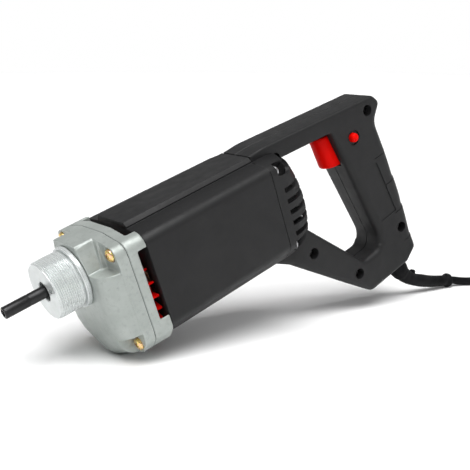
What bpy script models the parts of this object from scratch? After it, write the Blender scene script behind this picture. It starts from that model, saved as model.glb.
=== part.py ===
"""Hand-held electric concrete vibrator drive, with its threaded nose for a flexible poker hose.

The tool frame has X running back along the spindle from the front face of the threaded spigot, Y to the
tool's right and Z up. Lengths are written in millimetres and angles in degrees; meshes are scaled to metres
as they are made. The finished tool is pitched nose-down so that it stands on its gear case and cord boot.
"""

import math

import bmesh
import bpy
from mathutils import Matrix, Vector

# ---------------------------------------------------------------- driving dimensions
MM = 0.001
GAP = 0.3                     # clearance between pieces that touch
WELD = 2e-7                   # metres
ARC_STEP = 30.0               # degrees of arc per segment on rounded outlines
FACETS = ((4.0, 8), (8.0, 12), (17.5, 16), (30.0, 24), (1000.0, 30))   # radius up to which, facets of a turn

PITCH = 20.0                  # nose-down pitch of the standing tool
FRAME_X = -184.73             # puts the row origin at the centre of the tool's footprint
FRAME_Y = 0.0
GROUND = -51.15               # height of the floor in the pitched tool frame, before lifting

# motor and gears
MODULE = 0.8
PINION_TEETH = 15
GEAR_TEETH = 50
PRESSURE_ANGLE = 20.0
BACKLASH = 0.16
MOTOR_Z = -MODULE * (PINION_TEETH + GEAR_TEETH) / 2      # motor axis below the spindle axis

# threaded spigot
THREAD_R = 21.0               # M42 outside thread
SPIGOT_BORE_R = 7.0
COLLAR_R = 22.6
COLLAR_X = (20.0, 23.7)
TAIL_R = 18.3
TAIL_END = 30.7

# castings
COVER_FRONT = 24.0
FLANGE_FRONT = 38.5
COVER_REAR = 46.2
GASKET_X = (46.5, 46.9)
PLATE_X = (47.2, 54.2)
LUG_END = 61.7
HALF_WIDTH = 42.5
TOP_Z = 24.6
BOTTOM_Z = -69.6
GEAR_CHAMBER_R = 21.6
CASE_SCREWS = ((34.0, 15.0), (31.0, -53.5))              # (y, z), mirrored to the other side
CASE_SCREW_R = 2.1

# motor housing
HOUSING_X = (62.0, 174.2)
HOUSING_TAPER_Y = 0.94
HOUSING_TAPER_Z = 0.965
FAN_BORE_R = 38.0
STATOR_BORE_R = 36.4
REAR_BORE_R = 31.5
REAR_WALL = 163.0

# handle
SEAM_X = 174.5
HANDLE_W = 16.8               # half width of the handle's arms and grip
WALL = 2.8
CAP_CORNER_R = 26.0
CAP_REAR = 209.5
SLOT_LEVELS = (-2.5, -11.2, -19.9, -28.6, -37.3)
SLOT_HEIGHT = 3.9
HANDLE_SCREWS = ((197.0, 14.0), (209.5, -72.5), (249.0, -111.0), (295.0, 14.0), (304.0, -94.0))
HEAD_SEAT_Y = -8.5
HOUSING_SCREWS = ((34.6, 13.2), (34.6, -46.0))           # (y, z), mirrored to the other side
LOCK_XZ = (275.0, -1.0)

# cord
CORD_R = 3.6
COIL_MEAN_R = 36.0
COIL_TURNS_WIDE = 4
COIL_HEIGHT = 14.7


# ---------------------------------------------------------------- scene and helpers
for old in list(bpy.data.objects):
    bpy.data.objects.remove(old, do_unlink=True)

PARTS = bpy.data.collections.new("concrete_vibrator")
bpy.context.scene.collection.children.link(PARTS)

# local (x, y, z) of an outline or a turned profile to the tool frame
AXES = {
    "X": Matrix(((0, 0, 1, 0), (1, 0, 0, 0), (0, 1, 0, 0), (0, 0, 0, 1))),
    "Y": Matrix(((1, 0, 0, 0), (0, 0, -1, 0), (0, 1, 0, 0), (0, 0, 0, 1))),
    "Z": Matrix.Identity(4),
}


def material(name, colour, roughness, metallic=0.0):
    """A Principled material."""
    result = bpy.data.materials.new(name)
    result.use_nodes = True
    shader = result.node_tree.nodes["Principled BSDF"]
    shader.inputs["Base Color"].default_value = (*colour, 1.0)
    shader.inputs["Roughness"].default_value = roughness
    shader.inputs["Metallic"].default_value = metallic
    return result


def solid(obj, matrix=None):
    """Turn an object into a plain mesh object in millimetres, welded, with its faces pointing out."""
    bpy.context.view_layer.update()
    graph = bpy.context.evaluated_depsgraph_get()
    mesh = bpy.data.meshes.new_from_object(obj.evaluated_get(graph))
    name = obj.name
    bpy.data.objects.remove(obj, do_unlink=True)
    mesh.name = name
    mesh.materials.clear()
    if matrix is not None:
        mesh.transform(matrix)
    shell = bmesh.new()
    shell.from_mesh(mesh)
    bmesh.ops.remove_doubles(shell, verts=shell.verts, dist=WELD / MM)
    bmesh.ops.recalc_face_normals(shell, faces=shell.faces)
    shell.to_mesh(mesh)
    shell.free()
    result = bpy.data.objects.new(name, mesh)
    PARTS.objects.link(result)
    return result


def combine(target, tool, operation):
    """Apply a Boolean with another solid, which is used up."""
    name = target.name
    modifier = target.modifiers.new(operation, "BOOLEAN")
    modifier.operation = operation
    modifier.solver = "EXACT"
    modifier.object = tool
    result = solid(target)
    bpy.data.objects.remove(tool, do_unlink=True)
    result.name = name
    return result


def union(target, *tools):
    for tool in tools:
        target = combine(target, tool, "UNION")
    return target


def cut(target, *tools):
    for tool in tools:
        target = combine(target, tool, "DIFFERENCE")
    return target


def curve_object(name, flat):
    curve = bpy.data.curves.new(name, "CURVE")
    curve.dimensions = "2D" if flat else "3D"
    curve.fill_mode = "BOTH" if flat else "FULL"
    curve.render_resolution_u = 0
    obj = bpy.data.objects.new(name, curve)
    PARTS.objects.link(obj)
    return obj, curve


def prism(name, outline, start, end, axis="X", holes=()):
    """A flat outline, with holes in it, extruded from start to end along an axis."""
    obj, curve = curve_object(name, True)
    curve.extrude = abs(end - start) / 2
    for loop in (outline, *holes):
        spline = curve.splines.new("POLY")
        spline.points.add(len(loop) - 1)
        for point, corner in zip(spline.points, loop):
            point.co = (corner[0], corner[1], 0, 1)
        spline.use_cyclic_u = True
    middle = (start + end) / 2
    return solid(obj, AXES[axis] @ Matrix.Translation((0, 0, -middle if axis == "Y" else middle)))


def facets(radius):
    """How many facets a turned surface of a radius gets."""
    return next(count for limit, count in FACETS if radius <= limit)


def turned(name, profile, axis="X", centre=(0.0, 0.0, 0.0), steps=0):
    """A profile of (distance along the axis, radius) points turned about an axis through a point."""
    closed = all(radius > 0 for _, radius in profile)
    steps = steps or facets(max(radius for _, radius in profile))
    mesh = bpy.data.meshes.new(name)
    count = len(profile)
    edges = [(i, i + 1) for i in range(count - 1)] + ([(count - 1, 0)] if closed else [])
    mesh.from_pydata([(radius, 0, height) for height, radius in profile], edges, [])
    obj = bpy.data.objects.new(name, mesh)
    PARTS.objects.link(obj)
    screw = obj.modifiers.new("turn", "SCREW")
    screw.steps = steps
    screw.render_steps = steps
    screw.use_merge_vertices = True
    screw.merge_threshold = 0.0001
    screw.use_smooth_shade = False
    return solid(obj, Matrix.Translation(centre) @ AXES[axis])


def cylinder(name, radius, start, end, axis="X", centre=(0.0, 0.0)):
    """A plain cylinder; centre is its place across the axis, in the frame's order."""
    place = {"X": (0, *centre), "Y": (centre[0], 0, centre[1]), "Z": (*centre, 0)}[axis]
    low, high = (-end, -start) if axis == "Y" else (start, end)
    return turned(name, [(high, 0), (high, radius), (low, radius), (low, 0)], axis, place)


def ring(name, inner, outer, start, end, axis="X", centre=(0.0, 0.0)):
    place = {"X": (0, *centre), "Y": (centre[0], 0, centre[1]), "Z": (*centre, 0)}[axis]
    low, high = (-end, -start) if axis == "Y" else (start, end)
    return turned(name, [(high, inner), (high, outer), (low, outer), (low, inner)], axis, place)


def box(name, low, high):
    """A box between two corners."""
    cube = bmesh.new()
    bmesh.ops.create_cube(cube, size=1.0)
    size = [high[i] - low[i] for i in range(3)]
    middle = [(high[i] + low[i]) / 2 for i in range(3)]
    bmesh.ops.scale(cube, vec=size, verts=cube.verts)
    bmesh.ops.translate(cube, vec=middle, verts=cube.verts)
    mesh = bpy.data.meshes.new(name)
    cube.to_mesh(mesh)
    cube.free()
    obj = bpy.data.objects.new(name, mesh)
    PARTS.objects.link(obj)
    return obj


def tube(name, points, radii, resolution=3, cyclic=False):
    """A round bar along points, with one radius for each point or one for all."""
    obj, curve = curve_object(name, False)
    curve.bevel_depth = 1.0
    curve.bevel_resolution = resolution
    curve.use_fill_caps = True
    spline = curve.splines.new("POLY")
    spline.points.add(len(points) - 1)
    spline.use_cyclic_u = cyclic
    for index, (point, place) in enumerate(zip(spline.points, points)):
        point.co = (*place, 1)
        point.radius = radii[index] if isinstance(radii, (list, tuple)) else radii
    return solid(obj)


def loft(name, rings):
    """A closed solid through rings of equal point counts, with flat ends."""
    shell = bmesh.new()
    rows = [[shell.verts.new(point) for point in one] for one in rings]
    count = len(rows[0])
    for first, second in zip(rows, rows[1:]):
        for i in range(count):
            j = (i + 1) % count
            shell.faces.new((first[i], first[j], second[j], second[i]))
    shell.faces.new(rows[0])
    shell.faces.new(rows[-1])
    mesh = bpy.data.meshes.new(name)
    shell.to_mesh(mesh)
    shell.free()
    obj = bpy.data.objects.new(name, mesh)
    PARTS.objects.link(obj)
    return solid(obj)


def bevelled(obj, width, segments=2, angle=35.0):
    """Round the sharp edges of a solid."""
    modifier = obj.modifiers.new("edges", "BEVEL")
    modifier.width = width
    modifier.segments = segments
    modifier.limit_method = "ANGLE"
    modifier.angle_limit = math.radians(angle)
    return solid(obj)


def circle(radius, centre=(0.0, 0.0), steps=0):
    steps = steps or facets(radius)
    angles = [2 * math.pi * i / steps for i in range(steps)]
    return [(centre[0] + radius * math.cos(a), centre[1] + radius * math.sin(a)) for a in angles]


def rounded(corners):
    """An outline with its corners rounded. A corner is (u, v, radius, ...); what follows is kept."""
    outline = []
    count = len(corners)
    for i, corner in enumerate(corners):
        here = Vector(corner[:2])
        radius = corner[2]
        rest = tuple(corner[3:])
        back = (Vector(corners[i - 1][:2]) - here).normalized()
        on = (Vector(corners[(i + 1) % count][:2]) - here).normalized()
        half = back.angle(on) / 2
        if radius <= 0 or half > math.radians(89.5):
            outline.append((here.x, here.y, *rest))
            continue
        centre = here + (back + on).normalized() * radius / math.sin(half)
        first = here + back * radius / math.tan(half)
        last = here + on * radius / math.tan(half)
        turn = math.pi - 2 * half
        steps = max(1, math.ceil(math.degrees(turn) / ARC_STEP))
        a0 = math.atan2(first.y - centre.y, first.x - centre.x)
        a1 = math.atan2(last.y - centre.y, last.x - centre.x)
        sweep = (a1 - a0 + math.pi) % (2 * math.pi) - math.pi
        for k in range(steps + 1):
            angle = a0 + sweep * k / steps
            outline.append((centre.x + radius * math.cos(angle), centre.y + radius * math.sin(angle), *rest))
    return outline


def normals(outline):
    """The inward normal at each point of an outline, lengthened at corners so that an offset stays even."""
    area = sum(p[0] * q[1] - q[0] * p[1] for p, q in zip(outline, outline[1:] + outline[:1]))
    side = 1 if area > 0 else -1
    found = []
    count = len(outline)
    for i in range(count):
        before = (Vector(outline[i][:2]) - Vector(outline[i - 1][:2])).normalized()
        after = (Vector(outline[(i + 1) % count][:2]) - Vector(outline[i][:2])).normalized()
        first = Vector((-before.y, before.x)) * side
        second = Vector((-after.y, after.x)) * side
        mean = (first + second).normalized()
        found.append(mean / max(0.35, mean.dot(first)))
    return found


def offset(outline, inward, rim_loss=0.0):
    """An outline moved inward, its rim radii (a third value on each point) lessened."""
    moved = []
    for point, normal in zip(outline, normals(outline)):
        place = (point[0] + normal.x * inward, point[1] + normal.y * inward)
        rim = (max(0.6, point[2] - rim_loss),) if len(point) > 2 else ()
        moved.append((*place, *rim))
    return moved


def rimmed_slab(name, outline, side, inner_y, half_width, spread=-1.0, beyond=0.0, steps=2):
    """A slab on one side of the XZ plane whose outer rim is rounded by each outline point's own radius.

    spread is -1 for a slab whose rim turns in and +1 for a cutter whose rim flares out; beyond carries a
    cutter past the slab's face.
    """
    inward = normals(outline)
    rings = [[(p[0], side * inner_y, p[1]) for p in outline]]
    for k in range(steps + 1):
        angle = math.radians(90.0 * k / steps)
        one = []
        for point, normal in zip(outline, inward):
            shift = -spread * point[2] * (1 - math.cos(angle))
            depth = half_width - point[2] * (1 - math.sin(angle))
            one.append((point[0] + normal.x * shift, side * depth, point[1] + normal.y * shift))
        rings.append(one)
    if beyond:
        rings.append([(x, y + side * beyond, z) for x, y, z in rings[-1]])
    return loft(name, rings)


def mirrored(points):
    """(y, z) places and their mirror images."""
    return [(side * y, z) for y, z in points for side in (-1, 1)]


def helix(name, start, end, mean_r, wire_r, turns, axis="X", centre=(0.0, 0.0)):
    """A coil spring between two places on an axis."""
    steps = 8 * turns
    points = []
    for i in range(steps + 1):
        angle = 2 * math.pi * i / 8
        along = start + (end - start) * i / steps
        across = (centre[0] + mean_r * math.cos(angle), centre[1] + mean_r * math.sin(angle))
        points.append((along, *across) if axis == "X" else (across[0], along, across[1]))
    return tube(name, points, wire_r, 0)


def gear_outline(teeth, centre, tooth_at, addendum=1.0):
    """An involute gear's outline about a centre, one tooth centred at an angle in degrees."""
    pitch_r = MODULE * teeth / 2
    base_r = pitch_r * math.cos(math.radians(PRESSURE_ANGLE))
    root_r = pitch_r - 1.25 * MODULE
    tip_r = pitch_r + addendum * MODULE
    start_r = max(base_r, root_r + 0.05)

    def involute(radius):
        roll = math.sqrt(max(0.0, (radius / base_r) ** 2 - 1))
        return roll - math.atan(roll)

    half_tooth = (math.pi * MODULE / 2 - BACKLASH) / 2 / pitch_r + involute(pitch_r)
    flank = [(root_r, half_tooth - involute(start_r)), (tip_r, half_tooth - involute(tip_r))]
    outline = []
    for tooth in range(teeth):
        middle = math.radians(tooth_at) + 2 * math.pi * tooth / teeth
        spots = [(r, -a) for r, a in flank] + [(r, a) for r, a in reversed(flank)]
        for radius, angle in spots:
            turn = middle + angle
            outline.append((centre[0] + radius * math.cos(turn), centre[1] + radius * math.sin(turn)))
    return outline


# ---------------------------------------------------------------- shared outlines (y, z)
def both_sides(right):
    """The closed outline of a half given from top to bottom on the right."""
    return rounded([*right, *[(-c[0], *c[1:]) for c in reversed(right)]])


CASE_OUTLINE = both_sides([
    (15.6, TOP_Z, 3.0),
    (HALF_WIDTH, 20.0, 9.0),
    (HALF_WIDTH, -50.5, 9.0),
    (33.5, -60.0, 10.0),
    (16.0, -64.6, 16.0),
    (5.0, BOTTOM_Z, 8.0),
])

HOUSING_OUTLINE = both_sides([
    (17.6, 25.0, 1.2),
    (20.4, 21.9, 0.6),
    (20.0, 20.9, 0.4),
    (21.6, 20.5, 0.6),
    (42.0, 18.6, 7.5),
    (42.0, -48.0, 8.0),
    (30.0, -58.5, 12.0),
    (13.0, -67.0, 12.0),
])


# ---------------------------------------------------------------- gear case
def nose_outline():
    """The teardrop where the dome meets its front face."""
    return both_sides([
        (19.0, 24.0, 14.0),
        (24.3, 8.0, 16.0),
        (24.3, -14.0, 20.0),
        (8.0, -44.5, 7.5),
    ])


def radial(outline, centre, angle):
    """Where a ray from a centre leaves an outline."""
    direction = Vector((math.cos(angle), math.sin(angle)))
    best = None
    for p, q in zip(outline, outline[1:] + outline[:1]):
        a = Vector(p[:2]) - Vector(centre)
        b = Vector(q[:2]) - Vector(centre)
        edge = b - a
        denominator = direction.x * edge.y - direction.y * edge.x
        if abs(denominator) < 1e-9:
            continue
        distance = (a.x * edge.y - a.y * edge.x) / denominator
        along = (a.x * direction.y - a.y * direction.x) / denominator
        if distance > 0 and -1e-6 <= along <= 1 + 1e-6 and (best is None or distance > best):
            best = distance
    return Vector(centre) + direction * best


def chamber(name, start, end):
    """The hollow for the gears: one circle about each axis."""
    gear = cylinder(name, GEAR_CHAMBER_R, start, end)
    return union(gear, cylinder(name + "_low", 15.0, start + 1.2, end, "X", (0.0, MOTOR_Z)))


def make_cover():
    """Cast front cover: flange, rounded lower dome, flat roof over the gear and pockets for the screws."""
    steps = 36
    centre = (0.0, -20.0)
    rings = []
    front, back = nose_outline(), offset(CASE_OUTLINE, 0.8)
    for u in (0.0, 0.1, 0.3, 0.62, 1.0):
        share = math.sqrt(1 - (1 - u) ** 2) ** 0.92
        one = []
        for i in range(steps):
            angle = 2 * math.pi * (i + 0.5) / steps
            spot = radial(front, centre, angle).lerp(radial(back, centre, angle), share)
            one.append((COVER_FRONT + (FLANGE_FRONT + 0.2 - COVER_FRONT) * u, spot.x, spot.y))
        rings.append(one)
    cover = loft("gear_case_cover", rings)
    for side in (-1, 1):
        pocket = rounded([(60, 60, 0), (16.0, 60, 0), (16.2, 23.4, 2.0), (25.2, 3.6, 5.0), (60, 3.0, 0)])
        cover = cut(cover, prism("pocket", [(side * y, z) for y, z in pocket], 10.0, FLANGE_FRONT))
    roof = both_sides([(15.6, TOP_Z, 1.6), (23.0, 6.0, 0.0), (20.0, -4.0, 0.0)])
    cover = union(cover, prism("roof", roof, COVER_FRONT, FLANGE_FRONT + 1.0))
    cover = union(cover, prism("flange", CASE_OUTLINE, FLANGE_FRONT, COVER_REAR))
    cover = cut(cover, chamber("hollow", 27.4, COVER_REAR + 2))
    cover = cut(cover, cylinder("hub_bore", TAIL_R + GAP, 20.0, 30.0))
    for y, z in mirrored(CASE_SCREWS):
        face = FLANGE_FRONT + 0.7
        cover = cut(cover, cylinder("spot_face", 6.1, 18.0, face, "X", (y, z)))
        cover = cut(cover, cylinder("hole", CASE_SCREW_R + GAP, face - 2, COVER_REAR + 2, "X", (y, z)))
    return foot_facet(cover)


def foot_facet(obj):
    """Plane off the lowest strip, so that the standing tool rests on a flat."""
    block = box("facet", (-60, -40, -60), (60, 40, 0))
    block.data.transform(Matrix.Rotation(math.radians(PITCH), 4, "Y"))
    up = Vector((math.sin(math.radians(PITCH)), 0, math.cos(math.radians(PITCH))))
    block.data.transform(Matrix.Translation(up * GROUND + Vector((47.0, 0, -17.0)) -
                                            up * up.dot(Vector((47.0, 0, -17.0)))))
    return cut(obj, block)


def make_gasket():
    gasket = prism("gear_case_gasket", offset(CASE_OUTLINE, 0.25), *GASKET_X)
    gasket = cut(gasket, chamber("hollow", 40.0, 50.0))
    for y, z in mirrored(CASE_SCREWS):
        gasket = cut(gasket, cylinder("hole", CASE_SCREW_R + GAP, 40.0, 50.0, "X", (y, z)))
    return foot_facet(gasket)


def make_plate():
    """Cast bearing plate, whose corner lugs stand off the motor housing and leave the air outlets open."""
    plate = prism("bearing_plate", CASE_OUTLINE, PLATE_X[0], LUG_END)
    right = [(32.6, 50.0, 0), (30.8, 10.6, 2.0), (60.0, 11.8, 0), (60.0, -29.6, 0), (29.8, -46.7, 3.0),
             (26.0, -90.0, 0)]
    plate = cut(plate, prism("windows", both_sides(right), PLATE_X[1], LUG_END + 5))
    plate = union(plate, cylinder("spindle_boss", 14.2, 45.0, PLATE_X[0] + 1, "X", (0, 0)))
    plate = union(plate, cylinder("motor_boss", 17.0, PLATE_X[1] - 1, 57.5, "X", (0, MOTOR_Z)))
    plate = cut(plate, cylinder("spindle_pocket", 11.3, 40.0, 52.3, "X", (0, 0)))
    plate = cut(plate, cylinder("motor_pocket", 13.3, 49.0, 60.0, "X", (0, MOTOR_Z)))
    plate = cut(plate, cylinder("pinion_hole", 7.4, 40.0, 50.0, "X", (0, MOTOR_Z)))
    for y, z in mirrored(CASE_SCREWS):
        plate = cut(plate, cylinder("hole", CASE_SCREW_R + GAP, 40.0, 70.0, "X", (y, z)))
    return foot_facet(plate)


def make_spigot():
    """Threaded nose that takes the poker's hose coupling and carries the spindle's front bearing."""
    inner = 14.3
    profile = [
        (0.0, SPIGOT_BORE_R + 0.5), (0.0, THREAD_R - 1.0), (1.0, THREAD_R), (18.8, THREAD_R),
        (18.8, THREAD_R - 0.9), (COLLAR_X[0], THREAD_R - 0.9), (COLLAR_X[0], COLLAR_R - 0.4),
        (COLLAR_X[0] + 0.4, COLLAR_R), (COLLAR_X[1], COLLAR_R), (COLLAR_X[1], TAIL_R), (TAIL_END, TAIL_R),
        (TAIL_END, inner), (5.0, inner), (5.0, SPIGOT_BORE_R), (0.5, SPIGOT_BORE_R),
    ]
    spigot = turned("threaded_spigot", profile, steps=30)
    key_slot = box("key_slot", (-1.0, -13.6, 1.4), (1.4, -9.6, 4.4))
    return cut(spigot, key_slot)


# ---------------------------------------------------------------- spindle and gears
def make_spindle():
    profile = [
        (-31.0, 0.0), (-31.0, 3.7), (-30.4, 4.25), (5.0, 4.25), (5.4, 6.0), (21.0, 6.0), (21.0, 9.0),
        (31.7, 9.0), (31.7, 7.0), (44.2, 7.0), (44.2, 5.4), (45.0, 4.0), (51.9, 4.0), (51.9, 0.0),
    ]
    spindle = turned("drive_spindle", profile)
    socket = prism("socket", circle(2.9, steps=6), -40.0, -19.0)
    groove = ring("groove", 6.6, 8.0, 42.3, 43.5)
    return cut(spindle, socket, groove)


def make_gear():
    holes = [circle(3.0, (12.6 * math.cos(math.radians(a)), 12.6 * math.sin(math.radians(a))))
             for a in range(30, 390, 60)]
    outline = gear_outline(GEAR_TEETH, (0.0, 0.0), -90.0 + 180.0 / GEAR_TEETH)
    return prism("output_gear", outline, 32.0, 42.0, "X", (circle(7.0 + GAP), *holes))


def make_circlip():
    clip = ring("gear_circlip", 6.9, 9.4, 42.6, 43.4)
    return cut(clip, box("mouth", (40.0, -1.6, 4.0), (46.0, 1.6, 12.0)))


def bearing(name, inner, outer, start, end, centre=(0.0, 0.0)):
    """A sealed ball bearing."""
    return ring(name, inner, outer, start, end, "X", centre)


def make_seal():
    profile = [(5.4, 8.2), (5.4, 14.0), (11.4, 14.0), (11.4, 12.6), (7.0, 12.6), (7.0, 8.6), (9.4, 6.5),
               (8.4, 6.3)]
    return turned("spindle_seal", profile)


# ---------------------------------------------------------------- motor
def make_housing():
    housing = prism("motor_housing", HOUSING_OUTLINE, *HOUSING_X)
    length = HOUSING_X[1] - HOUSING_X[0]
    for vertex in housing.data.vertices:
        share = (vertex.co.x - HOUSING_X[0]) / length
        vertex.co.y *= 1 + (HOUSING_TAPER_Y - 1) * share
        if vertex.co.z < 0:
            vertex.co.z *= 1 + (HOUSING_TAPER_Z - 1) * share
    axis = (0.0, MOTOR_Z)
    housing = cut(housing, cylinder("fan_bore", FAN_BORE_R, 55.0, 68.2, "X", axis))
    housing = cut(housing, cylinder("stator_bore", STATOR_BORE_R, 60.0, 157.5, "X", axis))
    housing = cut(housing, cylinder("rear_bore", REAR_BORE_R, 150.0, REAR_WALL, "X", axis))
    housing = cut(housing, cylinder("bearing_pocket", 11.3, 160.0, 170.6, "X", axis))
    housing = cut(housing, cylinder("shaft_hole", 5.0, 165.0, 180.0, "X", axis))
    housing = cut(housing, box("wire_duct", (66.0, -13.5, 13.6), (180.0, 13.5, 21.6)))
    for angle in range(45, 405, 90):
        spot = (22.0 * math.cos(math.radians(angle)), MOTOR_Z + 22.0 * math.sin(math.radians(angle)))
        housing = cut(housing, cylinder("air_hole", 7.0, 155.0, 180.0, "X", spot))
    for y, z in mirrored(CASE_SCREWS):
        housing = cut(housing, cylinder("pilot", CASE_SCREW_R + 0.2, 55.0, 86.0, "X", (y, z)))
    for y, z in mirrored(HOUSING_SCREWS):
        housing = cut(housing, cylinder("pilot", 2.2, 156.0, 180.0, "X", (y, z)))
    return housing


def make_fan():
    """Radial fan: a back plate with blades on its front, on a hub."""
    profile = [(58.3, 6.3), (58.3, 10.5), (61.0, 11.5), (61.0, 32.0), (62.4, 32.0), (62.4, 12.5), (66.0, 10.5),
               (66.0, 6.3)]
    fan = turned("cooling_fan", profile)
    blades = 18
    for index in range(blades):
        blade = box("blade", (55.4, 19.6, -0.8), (61.4, 36.9, 0.8))
        blade.data.transform(Matrix.Rotation(2 * math.pi * (index + 0.5) / blades, 4, "X"))
        fan = union(fan, blade)
    fan.data.transform(Matrix.Translation((0, 0, MOTOR_Z)))
    return fan


def make_shaft():
    profile = [
        (29.6, 0.0), (29.6, 3.6), (30.0, 4.0), (31.6, 4.0), (31.6, 4.7), (44.0, 5.0), (58.2, 5.0), (58.2, 6.0),
        (160.0, 6.0), (160.4, 4.0), (171.0, 4.0), (171.0, 0.0),
    ]
    shaft = turned("armature_shaft", profile, "X", (0, 0, MOTOR_Z))
    pinion = prism("pinion", gear_outline(PINION_TEETH, (0.0, MOTOR_Z), 90.0), 31.6, 44.4)
    return union(shaft, pinion)


def notched(radius, count, depth, width, centre, bore):
    """A disc outline with parallel-sided notches."""
    outline = []
    for index in range(count):
        middle = 2 * math.pi * index / count
        half = width / 2 / radius
        low = width / 2 / (radius - depth)
        step = math.pi / count
        inner = radius - depth
        for r, a in ((radius, -step), (radius, -half), (inner, -low), (inner, low), (radius, half)):
            outline.append((centre[0] + r * math.cos(middle + a), centre[1] + r * math.sin(middle + a)))
    return outline, circle(bore, centre)


def make_stator():
    """Laminated field core: a ring with two poles and the slots for the coils beside them."""
    axis = (0.0, MOTOR_Z)
    core = prism("stator_core", circle(36.0, axis), 78.0, 128.0, "X", (circle(20.6, axis),))
    return cut(core, box("coil_slots", (70.0, -30.5, MOTOR_Z - 12.0), (140.0, 30.5, MOTOR_Z + 12.0)))


def field_coil(name, side):
    """One field winding: two bars in the slots joined by arcs over the armature's ends."""
    mean_r = 26.0
    points = []
    arc = [20.0 + 140.0 * k / 8 for k in range(9)]
    for x, angles in ((73.0, arc), (133.0, list(reversed(arc)))):
        for angle in angles:
            turn = math.radians(angle)
            points.append((x, mean_r * math.cos(turn), MOTOR_Z + side * mean_r * math.sin(turn)))
    return tube(name, points, 3.6, 2, True)


def make_baffle():
    return ring("air_baffle", 26.0, FAN_BORE_R - GAP, 64.9, 67.8, "X", (0.0, MOTOR_Z))


def brush_gear(side):
    """Holder, carbon brush and spring on one side of the commutator."""
    name = "left" if side < 0 else "right"
    low, high = MOTOR_Z - 5.5, MOTOR_Z + 5.5
    holder = box("brush_holder_" + name, (142.5, 15.0, low), (156.5, 34.0, high))
    holder = cut(holder, box("brush_slot", (145.0, 10.0, low + 1.8), (154.0, 32.4, high - 1.8)))
    brush = box("carbon_brush_" + name, (145.3, 12.9, low + 2.1), (153.7, 24.0, high - 2.1))
    spring = helix("brush_spring_" + name, 24.7, 31.6, 2.6, 0.35, 4, "Y", (149.5, MOTOR_Z))
    for piece in (holder, brush, spring):
        if side < 0:
            piece.data.transform(Matrix.Scale(-1, 4, (0, 1, 0)))
            piece.data.flip_normals()
    return holder, brush, spring


# ---------------------------------------------------------------- handle
def handle_outline(seam):
    """The handle's side outline (x, z, corner radius, rim radius), from the top of the seam to the back."""
    return rounded([
        (seam, 25.4, 0.0, 2.4),
        (189.0, 26.6, 20.0, 2.4),
        (303.5, 23.6, 6.0, 3.0),
        (310.6, 16.5, 5.0, 4.0),
        (302.6, 0.0, 14.0, 7.0),
        (307.6, -22.0, 20.0, 9.0),
        (314.6, -66.0, 60.0, 10.0),
        (317.6, -106.0, 30.0, 10.0),
        (317.2, -119.6, 6.0, 7.0),
        (303.6, -127.9, 5.0, 5.0),
        (291.0, -128.9, 9.0, 4.0),
        (258.9, -133.1, 8.0, 4.5),
        (188.0, -72.4, 14.0, 4.0),
        (seam, -64.4, 0.0, 3.0),
    ])


def opening_outline():
    """The hand opening (x, z, corner radius, rim radius)."""
    return rounded([
        (197.0, 12.2, 0.0, 2.0),
        (254.4, 11.0, 2.5, 2.0),
        (260.7, -14.0, 6.0, 5.0),
        (280.0, -92.5, 14.0, 7.0),
        (275.0, -101.6, 7.0, 5.0),
        (257.5, -104.0, 6.0, 4.0),
        (246.0, -91.5, 10.0, 3.5),
        (208.5, -49.8, 6.0, 3.0),
        (197.0, -47.0, 0.0, 2.0),
    ])


def cap_half_width(z):
    """Half width of the motor housing's rear outline at a height."""
    spots = [(p[0] * HOUSING_TAPER_Y, p[1] * (HOUSING_TAPER_Z if p[1] < 0 else 1)) for p in HOUSING_OUTLINE]
    widths = []
    for p, q in zip(spots, spots[1:] + spots[:1]):
        if (p[1] - z) * (q[1] - z) <= 0 and p[1] != q[1]:
            widths.append(p[0] + (q[0] - p[0]) * (z - p[1]) / (q[1] - p[1]))
    return max(widths)


def cap_rear(z):
    """How far back the end cap reaches at a height."""
    reach = CAP_REAR - 10.0 * ((z + 21.0) / 40.0) ** 2
    if z > 13.0:
        reach -= 8.5 - math.sqrt(max(0.0, 8.5 ** 2 - (z - 13.0) ** 2))
    return reach


def end_cap(name, side, wall, front):
    """The rounded rear end of the motor body: level slices with a rounded rear corner, less a wall."""
    bottom, top = -64.0, 20.4
    low, high = bottom + wall, top - wall
    rings = []
    levels = 9
    for k in range(levels + 1):
        t = k / levels
        z = low + (high - low) * (0.5 - 0.5 * math.cos(math.pi * t))
        width = cap_half_width(max(bottom, min(top, z * (1.02 if wall else 1.0)))) - wall
        reach = cap_rear(z) - wall
        corner = min(CAP_CORNER_R - wall, width - 3.0)
        one = [(front, side * width, z)]
        for i in range(5):
            angle = math.radians(90.0 * i / 4)
            back = reach - corner + corner * math.sin(angle)
            one.append((back, side * (width - corner * (1 - math.cos(angle))), z))
        one += [(reach, side * GAP / 2, z), (front, side * GAP / 2, z)]
        rings.append(one)
    return loft(name, rings)


def vent_slot(side, level):
    """A slot round the end cap's corner at one level."""
    low, high = level - SLOT_HEIGHT / 2, level + SLOT_HEIGHT / 2
    ends = rounded([(182.0, -60, 1.2), (225, -60, 0), (225, -16.5, 0), (196.0, -16.5, 1.0),
                    (182.0, -30, 0)])
    return prism("vent", [(x, side * -y) for x, y in ends], low, high, "Z")


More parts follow.
